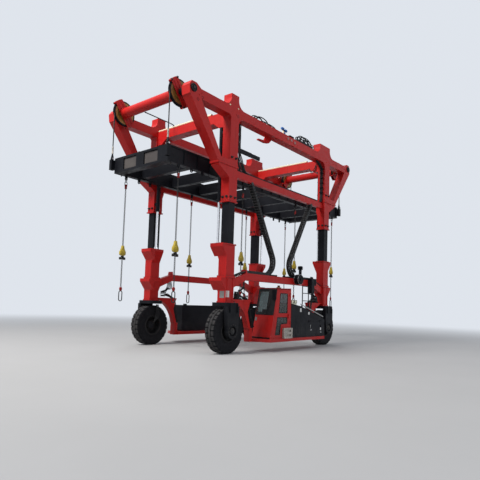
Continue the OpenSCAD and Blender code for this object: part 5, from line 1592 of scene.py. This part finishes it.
def make_finishes():
    """Every finish by its short name."""
    red, black = (0.44, 0.0105, 0.0095), (0.0065, 0.007, 0.0095)
    return {
        "red": painted("red_enamel", red, (0.47, 0.016, 0.013), 0.36, 0.3, 1.2, 0.35),
        "black": painted("black_enamel", black, (0.013, 0.014, 0.018), 0.4, 0.35, 1.3, 0.2, 0.35, 0.09),
        "valves": shelf_paint(black, red),
        "fork": painted("fork_enamel", (0.0075, 0.0085, 0.011), (0.014, 0.015, 0.019), 0.45, 0.35, 1.6, 0.2,
                        0.35, 0.09),
        "rim": painted("rim_enamel", (0.01, 0.01, 0.011), (0.018, 0.018, 0.019), 0.6, 0.4, 1.6, 0.2, 0.35,
                       0.1),
        "grey": painted("panel_grey", (0.07, 0.062, 0.06), (0.1, 0.09, 0.084), 0.45, 0.2, 1.0, 0.4, 0.35,
                        0.1),
        "pale_rail": painted("rail_grey", (0.4, 0.4, 0.39), (0.46, 0.46, 0.45), 0.4, 0.1, 1.0, 0.3),
        "hook_red": painted("hook_enamel", (0.3, 0.016, 0.014), (0.22, 0.02, 0.018), 0.4, 0.3, 2.0, 0.9),
        "faded": painted("faded_enamel", (0.36, 0.15, 0.14), (0.4, 0.2, 0.19), 0.5, 0.2, 1.0, 0.6),
        "yellow": painted("hoist_yellow", (0.46, 0.34, 0.035), (0.4, 0.31, 0.06), 0.45, 0.3, 1.6, 0.9, 0.6),
        "lining": moulded("cab_lining", (0.52, 0.43, 0.24), 0.6),
        "blue": painted("valve_blue", (0.02, 0.1, 0.34), (0.05, 0.16, 0.42), 0.4, 0.1, 1.0, 0.6),
        "cream": painted("cream_enamel", (0.74, 0.62, 0.44), (0.8, 0.72, 0.56), 0.4, 0.1, 1.0, 0.3, 0.15),
        "rubber": rolled_rubber("tyre_rubber"),
        "hose": rubber("hose_rubber", (0.008, 0.008, 0.009), 0.5, 0.1, 160),
        "seal": rubber("seal_rubber", (0.008, 0.008, 0.009), 0.6, 0.05, 120),
        "nylon": moulded("chain_nylon", (0.012, 0.012, 0.013), 0.45),
        "plastic": moulded("cab_plastic", (0.035, 0.036, 0.038), 0.5),
        "white": moulded("blank_plate", (0.62, 0.62, 0.6), 0.35),
        "pale": moulded("grey_plate", (0.16, 0.155, 0.15), 0.4),
        "rope": greased_steel("rope_wire", (0.016, 0.016, 0.018), 0.6, 0.1, 90),
        "chain": greased_steel("sling_chain", (0.02, 0.02, 0.022), 0.55, 0.2),
        "bolt": greased_steel("bolt_black", (0.014, 0.014, 0.015), 0.5, 0.2),
        "union": greased_steel("zinc_union", (0.55, 0.46, 0.26), 0.35, 0.9),
        "zinc": greased_steel("step_zinc", (0.46, 0.43, 0.385), 0.5, 0.35, 24),
        "steel": greased_steel("bright_steel", (0.55, 0.55, 0.56), 0.3, 0.9),
        "iron": cast("engine_iron", (0.16, 0.16, 0.165), (0.05, 0.048, 0.045)),
        "amber": cast("sheave_iron", (0.34, 0.17, 0.035), (0.14, 0.065, 0.018), 0.5, 0.25),
        "chrome": chromed("rod_chrome"),
        "glass": glazing("cab_glass", (0.07, 0.125, 0.125), 0.66),
        "door_glass": glazing("door_pane", (0.035, 0.04, 0.036), 0.42, 0.2),
        "lamp": lens("lamp_lens", (0.8, 0.78, 0.58), 70),
        "beacon": lens("beacon_lens", (0.8, 0.26, 0.02), 90),
        "cloth": seat_cloth("seat_cloth"),
    }


# body, then finish, slot and the makers of the pieces that bear their names
PIECES = (
    ("upper_frame", (
        ("bolt", "rail_black", pad_screws, frame_bolts, shaft_bolts, beam_valves),
        ("red", "red_paint", torque_tubes, sheave_cheeks, red_manifold),
        ("black", "black_paint", axle_sleeves, cylinder_lines),
        ("hose", "rail_black", beam_hoses, arm_hoses, right_leg_hoses, rail_hoses, cross_hoses, sensor_cable),
        ("union", "rail_black", beam_unions), ("blue", "rail_black", blue_valve),
        ("cream", "rail_black", valve_foot),
        ("faded", "machine_grey", beam_plates), ("black", "rail_black", painted_hole_shadows, hose_arm, hose_clamps,
                                                 tray_clips),
        ("cream", "galvanised", grease_caps, service_pipes))),
    ("spreader", (
        ("zinc", "galvanised", rope_sockets), ("chain", "rope", sling_links, sling_shackles, sling_rings),
        ("hook_red", "red_paint", sling_fittings), ("yellow", "sheave_amber", lever_hoists),
        ("bolt", "rope", hoist_guides), ("black", "black_paint", spreader_lips, tooth_rack),
        ("grey", "machine_grey", end_panels), ("steel", "galvanised", corner_gear),
        ("bolt", "black_paint", lock_pins))),
    ("near_chassis", (
        ("seal", "rail_black", windscreen_frame, windscreen_blinds, cab_trim), ("lining", "seat", cab_lining),
        ("bolt", "rail_black", wiper, lamp_bezels), ("plastic", "seat", cab_fittings, steering_wheel),
        ("white", "lamp", housing_plates), ("pale", "machine_grey", grey_plates),
        ("black", "black_paint", air_drum, unit_fins), ("steel", "galvanised", air_bands),
        ("hose", "rail_black", hydraulic_lines, tie_hoses), ("pale_rail", "galvanised", slope_rail),
        ("zinc", "galvanised", step_treads), ("beacon", "lamp", beacon_lens),
        ("bolt", "black_paint", swivel_rings))),
    ("cab_door_leaf", (("seal", "rail_black", door_seals),)),
    ("engine_door_leaf", (("steel", "galvanised", panel_latches),)),
    ("far_chassis", (("black", "black_paint", tank_straps),)))
STANDS_FOR = {torque_tubes: ["end_shafts"], sling_links: ["chain_slings"], cab_fittings: ["cab_interior"],
              air_drum: ["air_cleaner"]}


def make_corners(m):
    """Pieces of each wheel, fork and sheave, named with the corner's letters."""
    for end, sx, sy in ENDS:
        x, y = sx * LEG_X, sy * LEG_Y
        for name, shape, finish, body, slot, *rest in (
                ("tread_", tyre(x, y), "rubber", "wheel_", "tyre", ["tyre_" + end], 28),
                ("wheel_nuts_", wheel_parts(x, y, sy), "rim", "wheel_", "dark_rim"),
                ("drive_cover_", drive_parts(x, y, sy), "bolt", "steer_", "black_paint"),
                ("drive_hoses_", fork_hoses(x, y, sx, sy), "hose", "steer_", "rail_black"),
                ("rope_turn_", rope_turns(sx, sy), "rope", "pulley_", "rope"),
                ("sheave_body_", sheave_body(sx, sy), "amber", "pulley_", "sheave_amber", ["sheave_" + end]),
                ("sheave_lips_", sheave_rims(sx, sy), "black", "pulley_", "black_paint"),
                ("fork_plates_", fork_plates(x, y, sy), "fork", "steer_", "black_paint")):
            add(name + end, shape, m[finish], body + end, slot, *rest)


def make_pieces(m):
    """Every piece of the looks."""
    make_corners(m)
    for name, make, finish, slot in (
            ("leg_toes_", leg_toes, "red", "red_paint"), ("leg_bolts_", leg_bolts, "bolt", "rail_black"),
            ("foot_hoses_", foot_hoses, "hose", "rail_black")):
        near = make()
        add(name + "near", near, m[finish], "near_chassis", slot)
        add(name + "far", mirrored(near, 1), m[finish], "far_chassis", slot)
    for body, rows in PIECES:
        for finish, slot, *makers in rows:
            for make in makers:
                add(make.__name__, make(), m[finish], body, slot, STANDS_FOR.get(make, ()))
    fall = ("upper_frame", "spreader", (0, 0, SHEAVE[2] - 0.1), (0, 0, SPREADER[3] + 0.3))
    add("rope_falls", rope_falls(), m["rope"], None, "rope", ["hoist_ropes"], 40, fall)
    loop = ("upper_frame", "near_chassis", (0, -LEG_Y, 5.4), (0, -LEG_Y, 2.62))
    add("chain_links", chain_links(), m["nylon"], None, "chain_plastic", ["energy_chains"], 35, loop)
    add("chain_hoses", chain_hoses(), m["hose"], None, "chain_plastic", (), 35, loop)
    for name, line, thick, crown in (("seat_cushion", [(-0.915, 0.765), (-0.44, 0.745)], 0.12, 0.14),
                                     ("seat_back", [(-0.475, 0.85), (-0.395, 1.465)], 0.11, 0.12)):
        piece = add(name, seat_form(*SEAT_SIDES, line, thick, crown), m["cloth"], "near_chassis", "seat",
                    (), 60)


FLOOR_HALF, FLOOR_Z = 60.0, -0.001
# name, place, point aimed at, size in metres, watts, colour
LIGHTS = (
    ("key", (-15, 1.5, 20), (0, 0, 3.5), 7, 5200, (1.0, 0.975, 0.94)),
    ("fill", (2, -20, 9), (0, 0, 3.5), 12, 750, (0.95, 0.97, 1.0)),
    ("rim", (14, 12, 13), (0, 0, 4.5), 9, 800, (0.95, 0.97, 1.0)))


def make_stage():
    """Pale floor, a key light high on the -X side, a broad fill on the cab
    side, and an even pale world that stands for the backdrop."""
    mesh = bpy.data.meshes.new("floor")
    u = np.linspace(-FLOOR_HALF, FLOOR_HALF, 40)
    points, quads, _ = grid(columns(*np.meshgrid(u, u, indexing="ij"), FLOOR_Z), False, False)
    mesh.from_pydata(points.tolist(), [], quads.tolist())
    mesh.materials.append(floor_finish())
    floor = placed("floor", mesh)
    for name, spot, aim, size, power, colour in LIGHTS:
        data = bpy.data.lights.new(name, "AREA")
        data.size = size
        data.energy = power
        data.color = colour
        placed(name, data).matrix_world = standing(*axes_of(np.subtract(spot, aim)), spot)
    world = bpy.context.scene.world = bpy.data.worlds.new("world")
    nodes = Nodes(world)
    nodes.put(nodes.tree.nodes["Background"].inputs["Color"],
              nodes.mix(nodes.looked_at(), (*SKY, 1), (*BACKDROP, 1)))
    bpy.context.scene.view_settings.view_transform = "Standard"


make_camera()
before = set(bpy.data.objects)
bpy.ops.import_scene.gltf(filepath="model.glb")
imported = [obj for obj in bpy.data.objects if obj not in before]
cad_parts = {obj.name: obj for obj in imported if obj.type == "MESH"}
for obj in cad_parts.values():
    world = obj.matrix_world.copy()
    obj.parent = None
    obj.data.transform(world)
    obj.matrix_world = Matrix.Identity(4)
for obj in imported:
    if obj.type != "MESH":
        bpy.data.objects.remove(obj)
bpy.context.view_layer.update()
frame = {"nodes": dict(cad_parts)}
finishes = make_finishes()
paint_nodes(frame["nodes"], finishes)
make_pieces(finishes)
make_stage()
